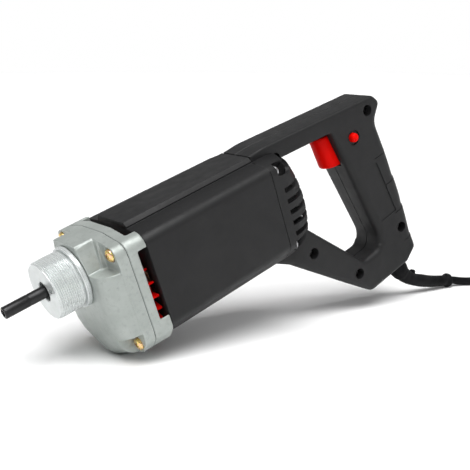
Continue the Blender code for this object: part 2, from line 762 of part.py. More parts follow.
def make_shell(side):
    """One half of the handle, with the hand opening, screw bosses, vents and pockets for its fittings."""
    name = "handle_left_shell" if side < 0 else "handle_right_shell"
    inner = GAP / 2
    outline = handle_outline(SEAM_X)
    opening = opening_outline()
    shell = rimmed_slab(name, outline, side, inner, HANDLE_W)
    shell = cut(shell, rimmed_slab("opening", opening, side, -5.0, HANDLE_W, 1.0, 6.0))
    shell = union(shell, end_cap("cap", side, 0.0, SEAM_X))

    hollow = rimmed_slab("hollow", offset(handle_outline(SEAM_X - 8.0), WALL, WALL), side, -5.0,
                         HANDLE_W - WALL, steps=1)
    keep = prism("keep", [p[:2] for p in offset(opening, -WALL)], -30.0, 30.0, "Y")
    hollow = cut(hollow, keep)
    hollow = union(hollow, end_cap("cap_hollow", side, WALL, SEAM_X - 5.0))
    shell = cut(shell, hollow)
    return fit_out(shell, side)


def fit_out(shell, side):
    """Bosses and openings of one handle half."""
    inner = GAP / 2
    boss_r = 6.8 if side < 0 else 5.0
    for x, z in HANDLE_SCREWS:
        ends = sorted((side * inner, side * (HANDLE_W - 1.6)))
        shell = union(shell, cylinder("boss", boss_r, *ends, "Y", (x, z)))
    for y, z in HOUSING_SCREWS:
        ear = cylinder("ear", 7.0, SEAM_X, 180.2, "X", (side * y * 0.97, z))
        trim = end_cap("trim", side, 0.15, SEAM_X - 5.0)
        shell = union(shell, combine(ear, trim, "INTERSECT"))
    rib = sorted((side * inner, side * 12.5))
    shell = union(shell, box("clamp_rib", (278.0, rib[0], -128.2), (292.0, rib[1], -123.8)))

    for x, z in HANDLE_SCREWS:
        if side < 0:
            shell = cut(shell, cylinder("head_hole", 4.6, -70.0, HEAD_SEAT_Y, "Y", (x, z)))
            shell = cut(shell, cylinder("shank_hole", 2.25, HEAD_SEAT_Y - 1, 5.0, "Y", (x, z)))
        else:
            shell = cut(shell, cylinder("pilot", 2.25, -5.0, 12.6, "Y", (x, z)))
    for y, z in HOUSING_SCREWS:
        shell = cut(shell, cylinder("head_recess", 5.7, 180.2, 220.0, "X", (side * y, z)))
        shell = cut(shell, cylinder("shank_hole", 2.3, 170.0, 182.0, "X", (side * y, z)))
    for level in SLOT_LEVELS:
        shell = cut(shell, vent_slot(side, level))
    mouth = [(245.0, -21.4), (267.0, -21.4), (267.0, 9.6), (245.0, 9.6)]
    shell = cut(shell, prism("trigger_mouth", mouth, *sorted((-side * 5.0, side * 9.3)), "Y"))
    if side < 0:
        shell = cut(shell, cylinder("lock_hole", 4.1, -20.0, -10.0, "Y", LOCK_XZ))
        shell = cut(shell, cylinder("lock_recess", 5.6, -20.0, -HANDLE_W + 1.2, "Y", LOCK_XZ))
    shell = cut(shell, cylinder("clamp_screw_hole", 1.8, -127.9, -116.0, "Z", (284.9, side * 7.0)))
    return cut(shell, boot_hole())


# ---------------------------------------------------------------- switch group
def make_trigger():
    """Trigger with a rounded front, and its stem inside the grip."""
    half = 8.6
    plan = rounded([(0.0, -half, 6.5), (0.0, half, 6.5), (19.0, half, 0), (19.0, -half, 0)])
    lean = 0.19
    rings = []
    for z in (-19.6, -19.0, 6.6, 7.4):
        shrink = 0.6 if z in (-19.6, 7.4) else 0.0
        front = 245.6 - lean * (z - 7.4) * 0.8
        one = [(max(front + x, front + shrink) if x < 9 else 262.6, y * (1 - shrink / 12), z)
               for x, y in plan]
        rings.append(one)
    trigger = loft("trigger", rings)
    return union(trigger, box("stem", (262.0, -5.0, -12.0), (265.0, 5.0, 2.0)))


def make_switch():
    switch = bevelled(box("switch_body", (271.6, -9.0, -27.0), (297.0, 9.0, 6.6)), 1.0, 1)
    return switch


def make_lock_button():
    x, z = LOCK_XZ
    profile = [(19.9, 0.0), (19.8, 1.4), (19.2, 2.7), (18.2, 3.5), (16.8, 3.8), (13.7, 3.8), (13.7, 5.2),
               (12.9, 5.2), (12.9, 1.8), (12.3, 1.8), (12.3, 0.0)]
    return turned("lock_button", profile, "Y", (x, 0, z))


def make_capacitor():
    return bevelled(box("suppression_capacitor", (279.0, -5.5, -52.0), (297.0, 5.5, -33.0)), 1.0, 1)


# ---------------------------------------------------------------- fasteners
def pan_screw(name, start, end, shank_r, head_r, head_h, place, axis, flip=False, cross=0.0):
    """A pan-head screw from its head's seat to its tip, with a cross recess if asked."""
    sign = -1 if flip else 1
    profile = [
        (-head_h, 0.0), (-head_h, head_r * 0.65), (-head_h * 0.45, head_r), (0.0, head_r), (0.0, shank_r),
        (end - start, shank_r), (end - start, 0.0),
    ]
    way = -sign if axis == "Y" else sign
    screw = turned(name, [(way * h, r) for h, r in profile], axis, (0, 0, 0), 12)
    arm = cross * 0.3
    depth = head_h * 0.7
    for a, b in ((cross, arm), (arm, cross)) if cross else ():
        low, high = sorted((-sign * (head_h + 1), -sign * (head_h - depth)))
        corners = {"X": ((low, -a, -b), (high, a, b)), "Y": ((-a, low, -b), (a, high, b)),
                   "Z": ((-a, -b, low), (a, b, high))}[axis]
        screw = cut(screw, box("cross", *corners))
    screw.data.transform(Matrix.Translation(place))
    return screw


def make_fasteners():
    made = []
    for number, (y, z) in enumerate(mirrored(CASE_SCREWS), 1):
        seat = FLANGE_FRONT + 0.7 - GAP
        made.append(pan_screw(f"gear_case_screw_{number}", seat, 84.0, CASE_SCREW_R, 4.6, 3.0, (seat, y, z),
                              "X", cross=2.2))
    for number, (y, z) in enumerate(mirrored(HOUSING_SCREWS), 1):
        seat = 180.5
        made.append(pan_screw(f"housing_screw_{number}", 158.0, seat, 1.9, 4.0, 2.6, (seat, y, z), "X",
                              True))
    for number, (x, z) in enumerate(HANDLE_SCREWS, 1):
        seat = HEAD_SEAT_Y - GAP
        made.append(pan_screw(f"handle_screw_{number}", seat, 11.6, 1.95, 3.7, 2.4, (x, seat, z), "Y"))
    for number, side in enumerate((-1, 1), 1):
        place = (284.9, side * 7.0, -118.1)
        made.append(pan_screw(f"clamp_screw_{number}", 0.0, 9.4, 1.5, 2.9, 1.8, place, "Z", True))
    return made


# ---------------------------------------------------------------- cord boot and clamp
# points of the boot's axis in the tool's XZ plane, from inside the handle to its end ring
BOOT_PATH = ((296.5, -115.8), (299.1, -123.4), (300.4, -127.3), (302.2, -131.6), (304.6, -138.0),
             (306.3, -142.0), (308.6, -145.6), (312.6, -150.7), (319.4, -156.9), (327.4, -162.1),
             (337.0, -167.9), (347.0, -173.0), (356.2, -177.1), (357.4, -177.6), (359.4, -178.5),
             (360.1, -178.8))
BOOT_RADII = (7.2, 7.2, 6.0, 8.3, 8.3, 7.6, 6.6, 6.1, 5.5, 5.7, 5.4, 5.1, 4.9, 6.6, 6.6, 6.0)


def make_boot():
    """Rubber bend relief: a plug held in the handle wall, a swelling outside it, a taper and an end ring."""
    return tube("cord_boot", [(x, 0.0, z) for x, z in BOOT_PATH], list(BOOT_RADII), 3)


def boot_hole():
    """What the boot needs cut from the handle: its own body grown by the clearance."""
    points = [(x, 0.0, z) for x, z in BOOT_PATH[:6]]
    return tube("boot_hole", points, [7.9, 7.9, 6.9, 9.0, 9.0, 8.4], 3)


def make_clamp():
    clamp = bevelled(box("cord_clamp", (279.4, -10.5, -123.4), (290.4, 10.5, -118.4)), 0.8, 1)
    clamp = cut(clamp, cylinder("saddle", 4.4, 270.0, 300.0, "X", (0.0, -124.4)))
    for side in (-1, 1):
        clamp = cut(clamp, cylinder("hole", 1.8, -127.0, -115.0, "Z", (284.9, side * 7.0)))
    return clamp


# ---------------------------------------------------------------- free cord, laid out on the floor
# millimetres in the row frame: from the boot to the coil, and from the coil down to the plug
LEAD_ROUTE = ((216.4, 0.0, 6.2), (222.6, -0.8, 5.2), (230.0, -3.4, 4.0), (238.0, -6.8, 3.7),
              (246.5, -9.5, 3.7),
              (255.8, -10.7, 3.7))
TAIL_ROUTE = ((252.4, -99.4, 9.0), (247.0, -96.4, 8.1), (242.4, -92.4, 7.4), (238.0, -89.6, 7.0))
COIL_CENTRE = (286.0, -56.0)
PLUG_AT = (236.0, -89.0)


def smooth(points, spacing):
    """Points at an even spacing on a smooth curve through a few."""
    route = [Vector(p) for p in points]
    ends = [route[0] * 2 - route[1], *route, route[-1] * 2 - route[-2]]
    dense = []
    for a, b, c, d in zip(ends, ends[1:], ends[2:], ends[3:]):
        for i in range(24):
            t = i / 24
            dense.append(0.5 * ((2 * b) + (c - a) * t + (2 * a - 5 * b + 4 * c - d) * t * t +
                                (3 * b - a - 3 * c + d) * t ** 3))
    dense.append(route[-1])
    length = sum((q - p).length for p, q in zip(dense, dense[1:]))
    count = max(4, round(length / spacing))
    picked = [dense[0]]
    run, target = 0.0, length / count
    for p, q in zip(dense, dense[1:]):
        step = (q - p).length
        while run + step >= target - 1e-9 and len(picked) < count:
            picked.append(p.lerp(q, (target - run) / step))
            target += length / count
        run += step
    return [*picked, dense[-1]]


def make_cord():
    spacing = 2.2 * 2 * CORD_R
    lead = tube("cord_lead", [tuple(p) for p in smooth(LEAD_ROUTE, spacing)], CORD_R, 3)
    tail = tube("cord_tail", [tuple(p) for p in smooth(TAIL_ROUTE, spacing)], CORD_R, 3)
    half = COIL_TURNS_WIDE * CORD_R
    soft = 2.5
    low, high = 0.1, COIL_HEIGHT
    profile = []
    for r, way in ((COIL_MEAN_R + half, -1), (COIL_MEAN_R - half, 1)):
        rim = [(low, r + way * soft), (low + soft, r), (high - soft, r), (high, r + way * soft)]
        profile += rim if way < 0 else reversed(rim)
    coil = turned("cord_coil", profile, "Z", (*COIL_CENTRE, 0.0))
    return lead, coil, tail


def make_plug():
    """Generic two-pin plug lying on its side, pins along -X."""
    x, y = PLUG_AT
    body = rounded([(0.0, -9.0, 3.0), (0.0, 9.0, 3.0), (-20.0, 17.5, 8.0), (-34.0, 17.5, 6.0),
                    (-34.0, -17.5, 6.0), (-20.0, -17.5, 8.0)])
    plug = bevelled(prism("plug", [(x + u, y + v) for u, v in body], 0.2, 13.6, "Z"), 1.6, 2)
    pins = []
    for number, side in enumerate((-1, 1), 1):
        hole = cylinder("pin_hole", 2.0 + GAP, x - 40.0, x - 30.0, "X", (y + side * 9.5, 6.9))
        plug = cut(plug, hole)
        profile = [(x - 53.0, 0.0), (x - 53.0, 1.2), (x - 51.8, 2.0), (x - 30.4, 2.0), (x - 30.4, 0.0)]
        pins.append(turned(f"plug_pin_{number}", profile, "X", (0.0, y + side * 9.5, 6.9)))
    return [plug, *pins]


# ---------------------------------------------------------------- assembly
def finish(objects, shade, parent, origin=(0.0, 0.0, 0.0)):
    """Scale finished pieces to metres, set their origin, colour and parent."""
    for obj in objects:
        obj.data.transform(Matrix.Scale(MM, 4) @ Matrix.Translation([-c for c in origin]))
        obj.location = [c * MM for c in origin]
        obj.data.materials.append(shade)
        obj.data.shade_smooth()
        obj.data.set_sharp_from_angle(angle=math.radians(32))
        obj.parent = parent


def main():
    cast = material("cast_aluminium", (0.44, 0.49, 0.47), 0.5, 0.75)
    machined = material("machined_aluminium", (0.78, 0.8, 0.8), 0.3, 0.95)
    plastic = material("black_plastic", (0.04, 0.04, 0.042), 0.55)
    red = material("red_plastic", (0.75, 0.012, 0.0), 0.35)
    steel = material("steel", (0.5, 0.5, 0.5), 0.3, 1.0)
    dark_steel = material("blackened_steel", (0.03, 0.03, 0.03), 0.4, 0.6)
    gold = material("passivated_zinc", (0.75, 0.55, 0.2), 0.35, 0.9)
    rubber = material("rubber", (0.015, 0.015, 0.016), 0.6)
    copper = material("copper", (0.7, 0.3, 0.15), 0.35, 0.9)
    lamination = material("laminations", (0.2, 0.2, 0.21), 0.5, 0.8)
    carbon = material("carbon", (0.02, 0.02, 0.02), 0.7)
    insulator = material("insulator", (0.35, 0.28, 0.2), 0.6)

    frame = bpy.data.objects.new("tool_frame", None)
    PARTS.objects.link(frame)
    frame.rotation_euler = (0.0, -math.radians(PITCH), 0.0)
    frame.location = (FRAME_X * MM, FRAME_Y * MM, -GROUND * MM)
    floor = bpy.data.objects.new("floor_frame", None)
    PARTS.objects.link(floor)

    finish([make_cover(), make_plate()], cast, frame)
    finish([make_spigot()], machined, frame)
    finish([make_gasket(), make_seal()], rubber, frame)
    finish([make_spindle()], dark_steel, frame)
    finish([make_gear(), make_circlip()], steel, frame)
    finish([
        bearing("spindle_front_bearing", 6.0 + GAP, 14.0, 12.0, 20.0),
        bearing("spindle_rear_bearing", 4.0 + GAP, 11.0, 45.3, 52.0),
        bearing("armature_front_bearing", 5.0 + GAP, 13.0, 49.3, 57.2, (0.0, MOTOR_Z)),
        bearing("armature_rear_bearing", 4.0 + GAP, 11.0, 163.3, 170.3, (0.0, MOTOR_Z)),
    ], steel, frame)

    finish([make_housing(), make_shell(-1), make_shell(1), make_baffle()], plastic, frame)
    turning = (0.0, 0.0, MOTOR_Z)
    finish([make_fan()], red, frame, turning)
    finish([make_shaft()], steel, frame, turning)
    core, core_bore = notched(20.0, 12, 5.0, 2.4, (0.0, MOTOR_Z), 6.0 + GAP)
    bars, bars_bore = notched(12.5, 18, 1.0, 0.6, (0.0, MOTOR_Z), 6.0 + GAP)
    finish([prism("armature_core", core, 80.0, 126.0, "X", (core_bore,)), make_stator()], lamination, frame)
    finish([
        turned("armature_winding_front", [(70.5, 8.0), (70.5, 15.0), (74.0, 18.6), (79.7, 18.6),
                                          (79.7, 6.4)], "X", turning),
        turned("armature_winding_rear", [(126.3, 6.4), (126.3, 18.6), (132.0, 18.0), (137.0, 12.0),
                                         (137.0, 6.4)], "X", turning),
        field_coil("field_coil_upper", 1), field_coil("field_coil_lower", -1),
        prism("commutator", bars, 140.0, 158.0, "X", (bars_bore,)),
    ], copper, frame)
    for side in (-1, 1):
        holder, brush, spring = brush_gear(side)
        finish([holder], insulator, frame)
        finish([brush], carbon, frame)
        finish([spring], steel, frame)

    finish([make_trigger()], red, frame, (250.0, 0.0, -6.0))
    finish([make_lock_button()], red, frame, (LOCK_XZ[0], -16.0, LOCK_XZ[1]))
    finish([make_switch(), make_clamp()], plastic, frame)
    finish([make_capacitor()], insulator, frame)
    finish([
        helix("trigger_spring", 265.8, 270.8, 4.0, 0.4, 3, "X", (0.0, -5.0)),
        helix("lock_spring", -12.3, -9.7, 3.2, 0.3, 3, "Y", LOCK_XZ),
    ], steel, frame)

    fasteners = make_fasteners()
    finish([f for f in fasteners if f.name.startswith("gear_case")], gold, frame)
    finish([f for f in fasteners if not f.name.startswith("gear_case")], steel, frame)

    finish([make_boot()], rubber, frame)
    finish([*make_cord()], rubber, floor)
    plug, *pins = make_plug()
    finish([plug], rubber, floor)
    finish(pins, steel, floor)


main()
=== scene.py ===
"""Looks of the hand-held electric concrete vibrator drive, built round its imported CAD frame.

Pieces are shaped in the tool frame, in millimetres: X back along the spindle from the face of the threaded
nose, Y to the tool's right, Z up. settle() then puts them in the row frame, in metres.
"""

from math import atan2, ceil, cos, degrees, dist, pi, radians, sin, sqrt, tan

import bmesh
import bpy
from mathutils import Matrix, Vector


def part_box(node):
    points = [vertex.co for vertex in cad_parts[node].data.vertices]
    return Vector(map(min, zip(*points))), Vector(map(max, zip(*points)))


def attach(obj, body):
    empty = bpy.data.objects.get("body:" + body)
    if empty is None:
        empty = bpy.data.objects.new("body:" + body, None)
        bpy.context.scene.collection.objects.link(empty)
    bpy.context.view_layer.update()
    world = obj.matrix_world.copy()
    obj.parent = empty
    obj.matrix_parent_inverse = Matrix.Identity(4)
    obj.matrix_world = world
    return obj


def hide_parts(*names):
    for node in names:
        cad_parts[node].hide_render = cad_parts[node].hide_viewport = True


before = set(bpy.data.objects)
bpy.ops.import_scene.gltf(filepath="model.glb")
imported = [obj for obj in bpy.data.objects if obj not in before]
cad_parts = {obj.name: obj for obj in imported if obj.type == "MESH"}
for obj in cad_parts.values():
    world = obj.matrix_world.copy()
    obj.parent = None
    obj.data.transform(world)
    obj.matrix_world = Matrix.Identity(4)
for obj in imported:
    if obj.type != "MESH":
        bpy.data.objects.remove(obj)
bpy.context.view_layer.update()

# --- driving dimensions
MM = 0.001
WELD = 1e-4                   # millimetres
ARC_STEP = 7.5                # degrees of arc per segment on rounded outlines
PITCH = radians(20.0)
ORIGIN = (-0.18473, 0.0, 0.05115)        # the nose face's centre in the row frame
TO_ROW = Matrix.Translation(ORIGIN) @ Matrix.Rotation(-PITCH, 4, "Y") @ Matrix.Scale(MM, 4)
MOTOR_Z = -26.0

THREAD_R = 21.0
THREAD_PITCH = 1.5
THREAD_END = 18.6
COVER_FRONT = 24.0
FLANGE_FRONT = 38.5
COVER_REAR = 46.55
PLATE_X = (46.85, 54.2)
LUG_END = 61.7
CASE_SCREWS = ((34.0, 15.0), (31.0, -53.5))
HOUSING_X = (62.0, 174.2)
HOUSING_TAPER_Y = 0.94
HOUSING_TAPER_Z = 0.965
SEAM_X = 174.5
HANDLE_W = 16.8
WALL = 2.8
CAP_CORNER_R = 26.0
CAP_REAR = 209.5
CAP_LEVELS = (-64.0, 20.4)
CAP_TOP_R = 8.5
SLOT_LEVELS = (-2.5, -11.2, -19.9, -28.6, -37.3)
SLOT_HEIGHT = 3.9
HANDLE_SCREWS = ((197.0, 14.0), (209.5, -72.5), (249.0, -111.0), (295.0, 14.0), (304.0, -94.0))
HOUSING_SCREWS = ((34.6, 13.2), (34.6, -46.0))
LOCK_XZ = (275.0, -1.0)
SEAM_LIP = 0.5
SEAM_HALF = 0.35              # half the gap between the handle halves
RIB_LEVELS = (-23.2, -49.3, -77.0, -105.0)
CORD_R = 0.0036

# direction, cosine range, and the room's brightness at its two ends
ROOM = (((0, 0, 1), 0.05, 0.95, 0.6, 0.2), ((-0.58, -0.79, 0.15), 0.45, 0.97, 1.0, 0.3))

CAMERA_PLACE = (-0.44503, -0.5686, 0.21239)
CAMERA_RIGHT = (0.80832, -0.58854, 0.01585)
CAMERA_UP = (0.10121, 0.16543, 0.98101)
CAMERA_LENS = 72.8            # millimetres
CAMERA_SENSOR = 36.0
FLOOR_HALF = 6.0              # metres
WHITE = (1.0, 1.0, 1.0, 1.0)

SCENE = bpy.context.scene


# --- camera, light and floor
def link(name, data):
    obj = bpy.data.objects.new(name, data)
    SCENE.collection.objects.link(obj)
    return obj


def aim(obj, place, right, up):
    """Put an object at a place, looking along its -Z with the given right and up directions."""
    right = Vector(right).normalized()
    back = right.cross(Vector(up)).normalized()
    up = back.cross(right)
    turn = Matrix((right, up, back)).transposed().to_4x4()
    obj.matrix_world = Matrix.Translation(place) @ turn


def make_camera():
    data = bpy.data.cameras.new("camera")
    data.lens = CAMERA_LENS
    data.sensor_width = CAMERA_SENSOR
    camera = link("camera", data)
    aim(camera, CAMERA_PLACE, CAMERA_RIGHT, CAMERA_UP)
    SCENE.camera = camera


def make_light(name, kind, place, look, **settings):
    """Put a light at a place, looking along a direction."""
    data = bpy.data.lights.new(name, kind)
    for key, value in settings.items():
        setattr(data, key, value)
    look = Vector(look).normalized()
    right = look.cross(Vector((0, 0, 1))).normalized()
    aim(link(name, data), place, right, right.cross(look))


def make_lights():
    """A broad overhead light from a little in front of the tool, and a soft one from the left."""
    make_light("overhead", "SUN", (0.0, 0.0, 2.0), (0.2, 0.29, -0.94), energy=3.3, angle=radians(46.0))
    make_light("left", "AREA", (-0.5, -1.0, 0.9), (0.5, 1.0, -0.82), energy=2.5, size=0.5)


def make_world():
    """White backdrop; the room itself is brightest low down and dark behind the camera."""
    world = bpy.data.worlds.new("studio")
    world.use_nodes = True
    nodes, links = world.node_tree.nodes, world.node_tree.links
    backdrop = nodes["Background"]
    backdrop.inputs["Color"].default_value = WHITE
    backdrop.inputs["Strength"].default_value = 1.0
    coordinates = nodes.new("ShaderNodeTexCoord")
    level = None
    for direction, start, end, low, high in ROOM:
        dot = nodes.new("ShaderNodeVectorMath")
        dot.operation = "DOT_PRODUCT"
        dot.inputs[1].default_value = Vector(direction).normalized()
        links.new(coordinates.outputs["Generated"], dot.inputs[0])
        ramp = nodes.new("ShaderNodeMapRange")
        ramp.interpolation_type = "SMOOTHSTEP"
        for key, value in zip(("From Min", "From Max", "To Min", "To Max"), (start, end, low, high)):
            ramp.inputs[key].default_value = value
        links.new(dot.outputs["Value"], ramp.inputs["Value"])
        if level is None:
            level = ramp.outputs["Result"]
        else:
            product = nodes.new("ShaderNodeMath")
            product.operation = "MULTIPLY"
            links.new(level, product.inputs[0])
            links.new(ramp.outputs["Result"], product.inputs[1])
            level = product.outputs["Value"]
    room = nodes.new("ShaderNodeBackground")
    room.inputs["Color"].default_value = WHITE
    links.new(level, room.inputs["Strength"])
    mix = nodes.new("ShaderNodeMixShader")
    seen = nodes.new("ShaderNodeLightPath")
    links.new(seen.outputs["Is Camera Ray"], mix.inputs[0])
    links.new(room.outputs["Background"], mix.inputs[1])
    links.new(backdrop.outputs["Background"], mix.inputs[2])
    links.new(mix.outputs["Shader"], nodes["World Output"].inputs["Surface"])
    SCENE.world = world


def make_studio():
    """White room, soft lights and a pale floor."""
    make_world()
    SCENE.view_settings.view_transform = "Standard"
    make_lights()
    mesh = bpy.data.meshes.new("floor")
    corners = [(x * FLOOR_HALF, y * FLOOR_HALF, 0) for x, y in ((-1, -1), (1, -1), (1, 1), (-1, 1))]
    mesh.from_pydata(corners, [], [(0, 1, 2, 3)])
    floor = link("floor", mesh)
    shade = bpy.data.materials.new("pale_floor")
    shade.use_nodes = True
    shader = shade.node_tree.nodes["Principled BSDF"]
    shader.inputs["Base Color"].default_value = (0.97, 0.97, 0.97, 1.0)
    shader.inputs["Roughness"].default_value = 0.9
    shader.inputs["Specular IOR Level"].default_value = 0.1
    mesh.materials.append(shade)


# --- materials
class Shade:
    """A Principled material under construction, with tool-frame coordinates in millimetres."""

    def __init__(self, name, colour, roughness, metallic=0.0, specular=0.5):
        self.material = bpy.data.materials.new(name)
        self.material.use_nodes = True
        self.nodes = self.material.node_tree.nodes
        self.links = self.material.node_tree.links
        self.shader = self.nodes["Principled BSDF"]
        look = {"Base Color": (*colour, 1.0), "Roughness": roughness, "Metallic": metallic,
                "Specular IOR Level": specular}
        for key, value in look.items():
            self.shader.inputs[key].default_value = value
        self.height = None
        coordinates = self.nodes.new("ShaderNodeTexCoord")
        mapping = self.nodes.new("ShaderNodeMapping")
        mapping.inputs["Rotation"].default_value = (0.0, PITCH, 0.0)
        mapping.inputs["Scale"].default_value = (1000.0, 1000.0, 1000.0)
        self.links.new(coordinates.outputs["Object"], mapping.inputs["Vector"])
        self.place = mapping.outputs["Vector"]

    def node(self, kind, **values):
        made = self.nodes.new(kind)
        for key, value in values.items():
            if key in made.inputs:
                made.inputs[key].default_value = value
            else:
                setattr(made, key, value)
        return made

    def noise(self, size, detail=3.0, rough=0.55, scale=None):
        """Noise whose features are about size millimetres, divided by a scale along each axis."""
        made = self.node("ShaderNodeTexNoise", Scale=1.0 / size, Detail=detail, Roughness=rough)
        place = self.place
        if scale:
            mapping = self.node("ShaderNodeMapping", Scale=scale)
            self.links.new(place, mapping.inputs["Vector"])
            place = mapping.outputs["Vector"]
        self.links.new(place, made.inputs["Vector"])
        return made.outputs["Fac"]

    def cells(self, size):
        made = self.node("ShaderNodeTexVoronoi", Scale=1.0 / size)
        self.links.new(self.place, made.inputs["Vector"])
        return made.outputs["Distance"]

    def spread(self, value, low, high, start=0.3, end=0.7):
        """Map a value's start..end to low..high."""
        limits = {"From Min": start, "From Max": end, "To Min": low, "To Max": high}
        made = self.node("ShaderNodeMapRange", **limits)
        self.links.new(value, made.inputs["Value"])
        return made.outputs["Result"]

    def roughen(self, value, low, high):
        self.links.new(self.spread(value, low, high), self.shader.inputs["Roughness"])

    def tint(self, value, other, start=0.35, end=0.65):
        """Mix another colour in where value is high."""
        mix = self.node("ShaderNodeMix", data_type="RGBA")
        factor, first, second = mix.inputs[0], mix.inputs[6], mix.inputs[7]
        socket = self.shader.inputs["Base Color"]
        if socket.is_linked:
            self.links.new(socket.links[0].from_socket, first)
        else:
            first.default_value = socket.default_value
        second.default_value = (*other, 1.0)
        self.links.new(self.spread(value, 0.0, 1.0, start, end), factor)
        self.links.new(mix.outputs[2], socket)

    def bump(self, value, depth, strength=1.0):
        """Add a bump of a depth in millimetres."""
        made = self.node("ShaderNodeBump", Strength=strength, Distance=depth * MM)
        self.links.new(value, made.inputs["Height"])
        if self.height is not None:
            self.links.new(self.height, made.inputs["Normal"])
        self.height = made.outputs["Normal"]
        self.links.new(self.height, self.shader.inputs["Normal"])

    def worn_edges(self, other, width=0.5, amount=0.6):
        """Another colour along sharp edges, where the rounded normal leaves the true one."""
        rounded_edge = self.node("ShaderNodeBevel", Radius=width * MM)
        geometry = self.node("ShaderNodeNewGeometry")
        dot = self.node("ShaderNodeVectorMath", operation="DOT_PRODUCT")
        self.links.new(rounded_edge.outputs["Normal"], dot.inputs[0])
        self.links.new(geometry.outputs["Normal"], dot.inputs[1])
        patchy = self.noise(6.0, 4.0)
        level = self.node("ShaderNodeMath", operation="MULTIPLY")
        self.links.new(self.spread(dot.outputs["Value"], amount, 0.0, 0.86, 0.99), level.inputs[0])
        self.links.new(self.spread(patchy, 0.4, 1.0, 0.35, 0.6), level.inputs[1])
        self.tint(level.outputs["Value"], other, 0.0, 1.0)


def moulded_plastic(name, colour, light, roughness=0.5, specular=0.4):
    """Plastic with a fine spark-eroded grain, slight colour drift and edges rubbed a little lighter."""
    shade = Shade(name, colour, roughness, specular=specular)
    shade.tint(shade.noise(35.0, 3.0), tuple(c * 1.18 for c in colour))
    shade.roughen(shade.noise(9.0, 4.0), roughness - 0.06, roughness + 0.08)
    shade.worn_edges(light, 0.45, 0.5)
    shade.bump(shade.cells(0.55), 0.05, 0.35)
    shade.bump(shade.noise(0.9, 3.0), 0.05, 0.35)
    return shade.material


def cast_metal(name):
    """Lacquered aluminium casting: grey with a slightly green cast, softly uneven."""
    colour = (0.345, 0.375, 0.355)
    shade = Shade(name, colour, 0.42, 0.35, 0.4)
    shade.tint(shade.noise(14.0, 4.0), (0.39, 0.42, 0.40))
    shade.tint(shade.noise(3.2, 5.0, 0.7), (0.285, 0.31, 0.292), 0.52, 0.8)
    shade.roughen(shade.noise(5.0, 4.0), 0.34, 0.52)
    shade.worn_edges((0.66, 0.71, 0.69), 0.8, 0.5)
    shade.bump(shade.noise(2.2, 4.0, 0.6), 0.14, 0.5)
    shade.bump(shade.noise(0.6, 2.0), 0.04, 0.4)
    return shade.material


def turned_metal(name, colour, roughness=0.26, metallic=0.85):
    """Metal turned about the tool's X axis, with fine tool rings."""
    shade = Shade(name, colour, roughness, metallic)
    rings = shade.noise(1.0, 2.0, 0.6, (6.0, 0.02, 0.02))
    shade.roughen(rings, roughness - 0.06, roughness + 0.14)
    shade.tint(shade.noise(7.0, 3.0), tuple(c * 0.9 for c in colour))
    shade.bump(rings, 0.02, 0.5)
    return shade.material


def plain_metal(name, colour):
    roughness = 0.32
    shade = Shade(name, colour, roughness, 1.0)
    shade.roughen(shade.noise(1.6, 4.0), roughness - 0.08, roughness + 0.14)
    shade.tint(shade.noise(2.4, 4.0), tuple(c * 0.85 for c in colour))
    shade.bump(shade.noise(0.5, 3.0), 0.02, 0.4)
    return shade.material


def plated_screw(name):
    """Yellow passivated zinc, drifting to pink and green."""
    shade = Shade(name, (0.86, 0.62, 0.18), 0.3, 0.9)
    shade.tint(shade.noise(1.3, 3.0), (0.95, 0.5, 0.42), 0.45, 0.62)
    shade.tint(shade.noise(1.1, 2.0), (0.72, 0.78, 0.3), 0.55, 0.7)
    shade.roughen(shade.noise(0.8, 3.0), 0.2, 0.4)
    shade.bump(shade.noise(0.4, 3.0), 0.02, 0.4)
    return shade.material


def rubber(name, colour=(0.006, 0.006, 0.0065), roughness=0.5):
    shade = Shade(name, colour, roughness, 0.0, 0.05)
    shade.tint(shade.noise(8.0, 3.0), tuple(c * 1.8 for c in colour))
    shade.roughen(shade.noise(3.0, 4.0), roughness - 0.08, roughness + 0.12)
    shade.bump(shade.noise(0.35, 3.0), 0.03, 0.4)
    return shade.material


def banded(name, colour, other, roughness, depth, **wave):
    """Metal seen as close bands of two colours, such as wire strands or the edges of laminations."""
    shade = Shade(name, colour, roughness, 0.8)
    bands = shade.node("ShaderNodeTexWave", **wave)
    shade.links.new(shade.place, bands.inputs["Vector"])
    shade.tint(bands.outputs["Fac"], other)
    shade.bump(bands.outputs["Fac"], depth, 0.6)
    return shade.material


# --- shaping helpers
AXES = {
    "X": Matrix(((0, 0, 1, 0), (1, 0, 0, 0), (0, 1, 0, 0), (0, 0, 0, 1))),
    "Y": Matrix(((1, 0, 0, 0), (0, 0, -1, 0), (0, 1, 0, 0), (0, 0, 0, 1))),
    "Z": Matrix.Identity(4),
}


def polar(radius, angle, centre=(0.0, 0.0)):
    """The point at a distance and an angle from a centre."""
    return (centre[0] + radius * cos(angle), centre[1] + radius * sin(angle))


def from_shell(name, shell):
    """An object made from a finished bmesh, which is freed."""
    mesh = bpy.data.meshes.new(name)
    shell.to_mesh(mesh)
    shell.free()
    return link(name, mesh)


def solid(obj, matrix=None):
    """Turn an object into a plain welded mesh object with its faces pointing out."""
    bpy.context.view_layer.update()
    graph = bpy.context.evaluated_depsgraph_get()
    mesh = bpy.data.meshes.new_from_object(obj.evaluated_get(graph))
    name = obj.name
    bpy.data.objects.remove(obj, do_unlink=True)
    mesh.name = name
    mesh.materials.clear()
    if matrix is not None:
        mesh.transform(matrix)
    shell = bmesh.new()
    shell.from_mesh(mesh)
    bmesh.ops.remove_doubles(shell, verts=shell.verts, dist=WELD)
    bmesh.ops.recalc_face_normals(shell, faces=shell.faces)
    shell.to_mesh(mesh)
    shell.free()
    return link(name, mesh)


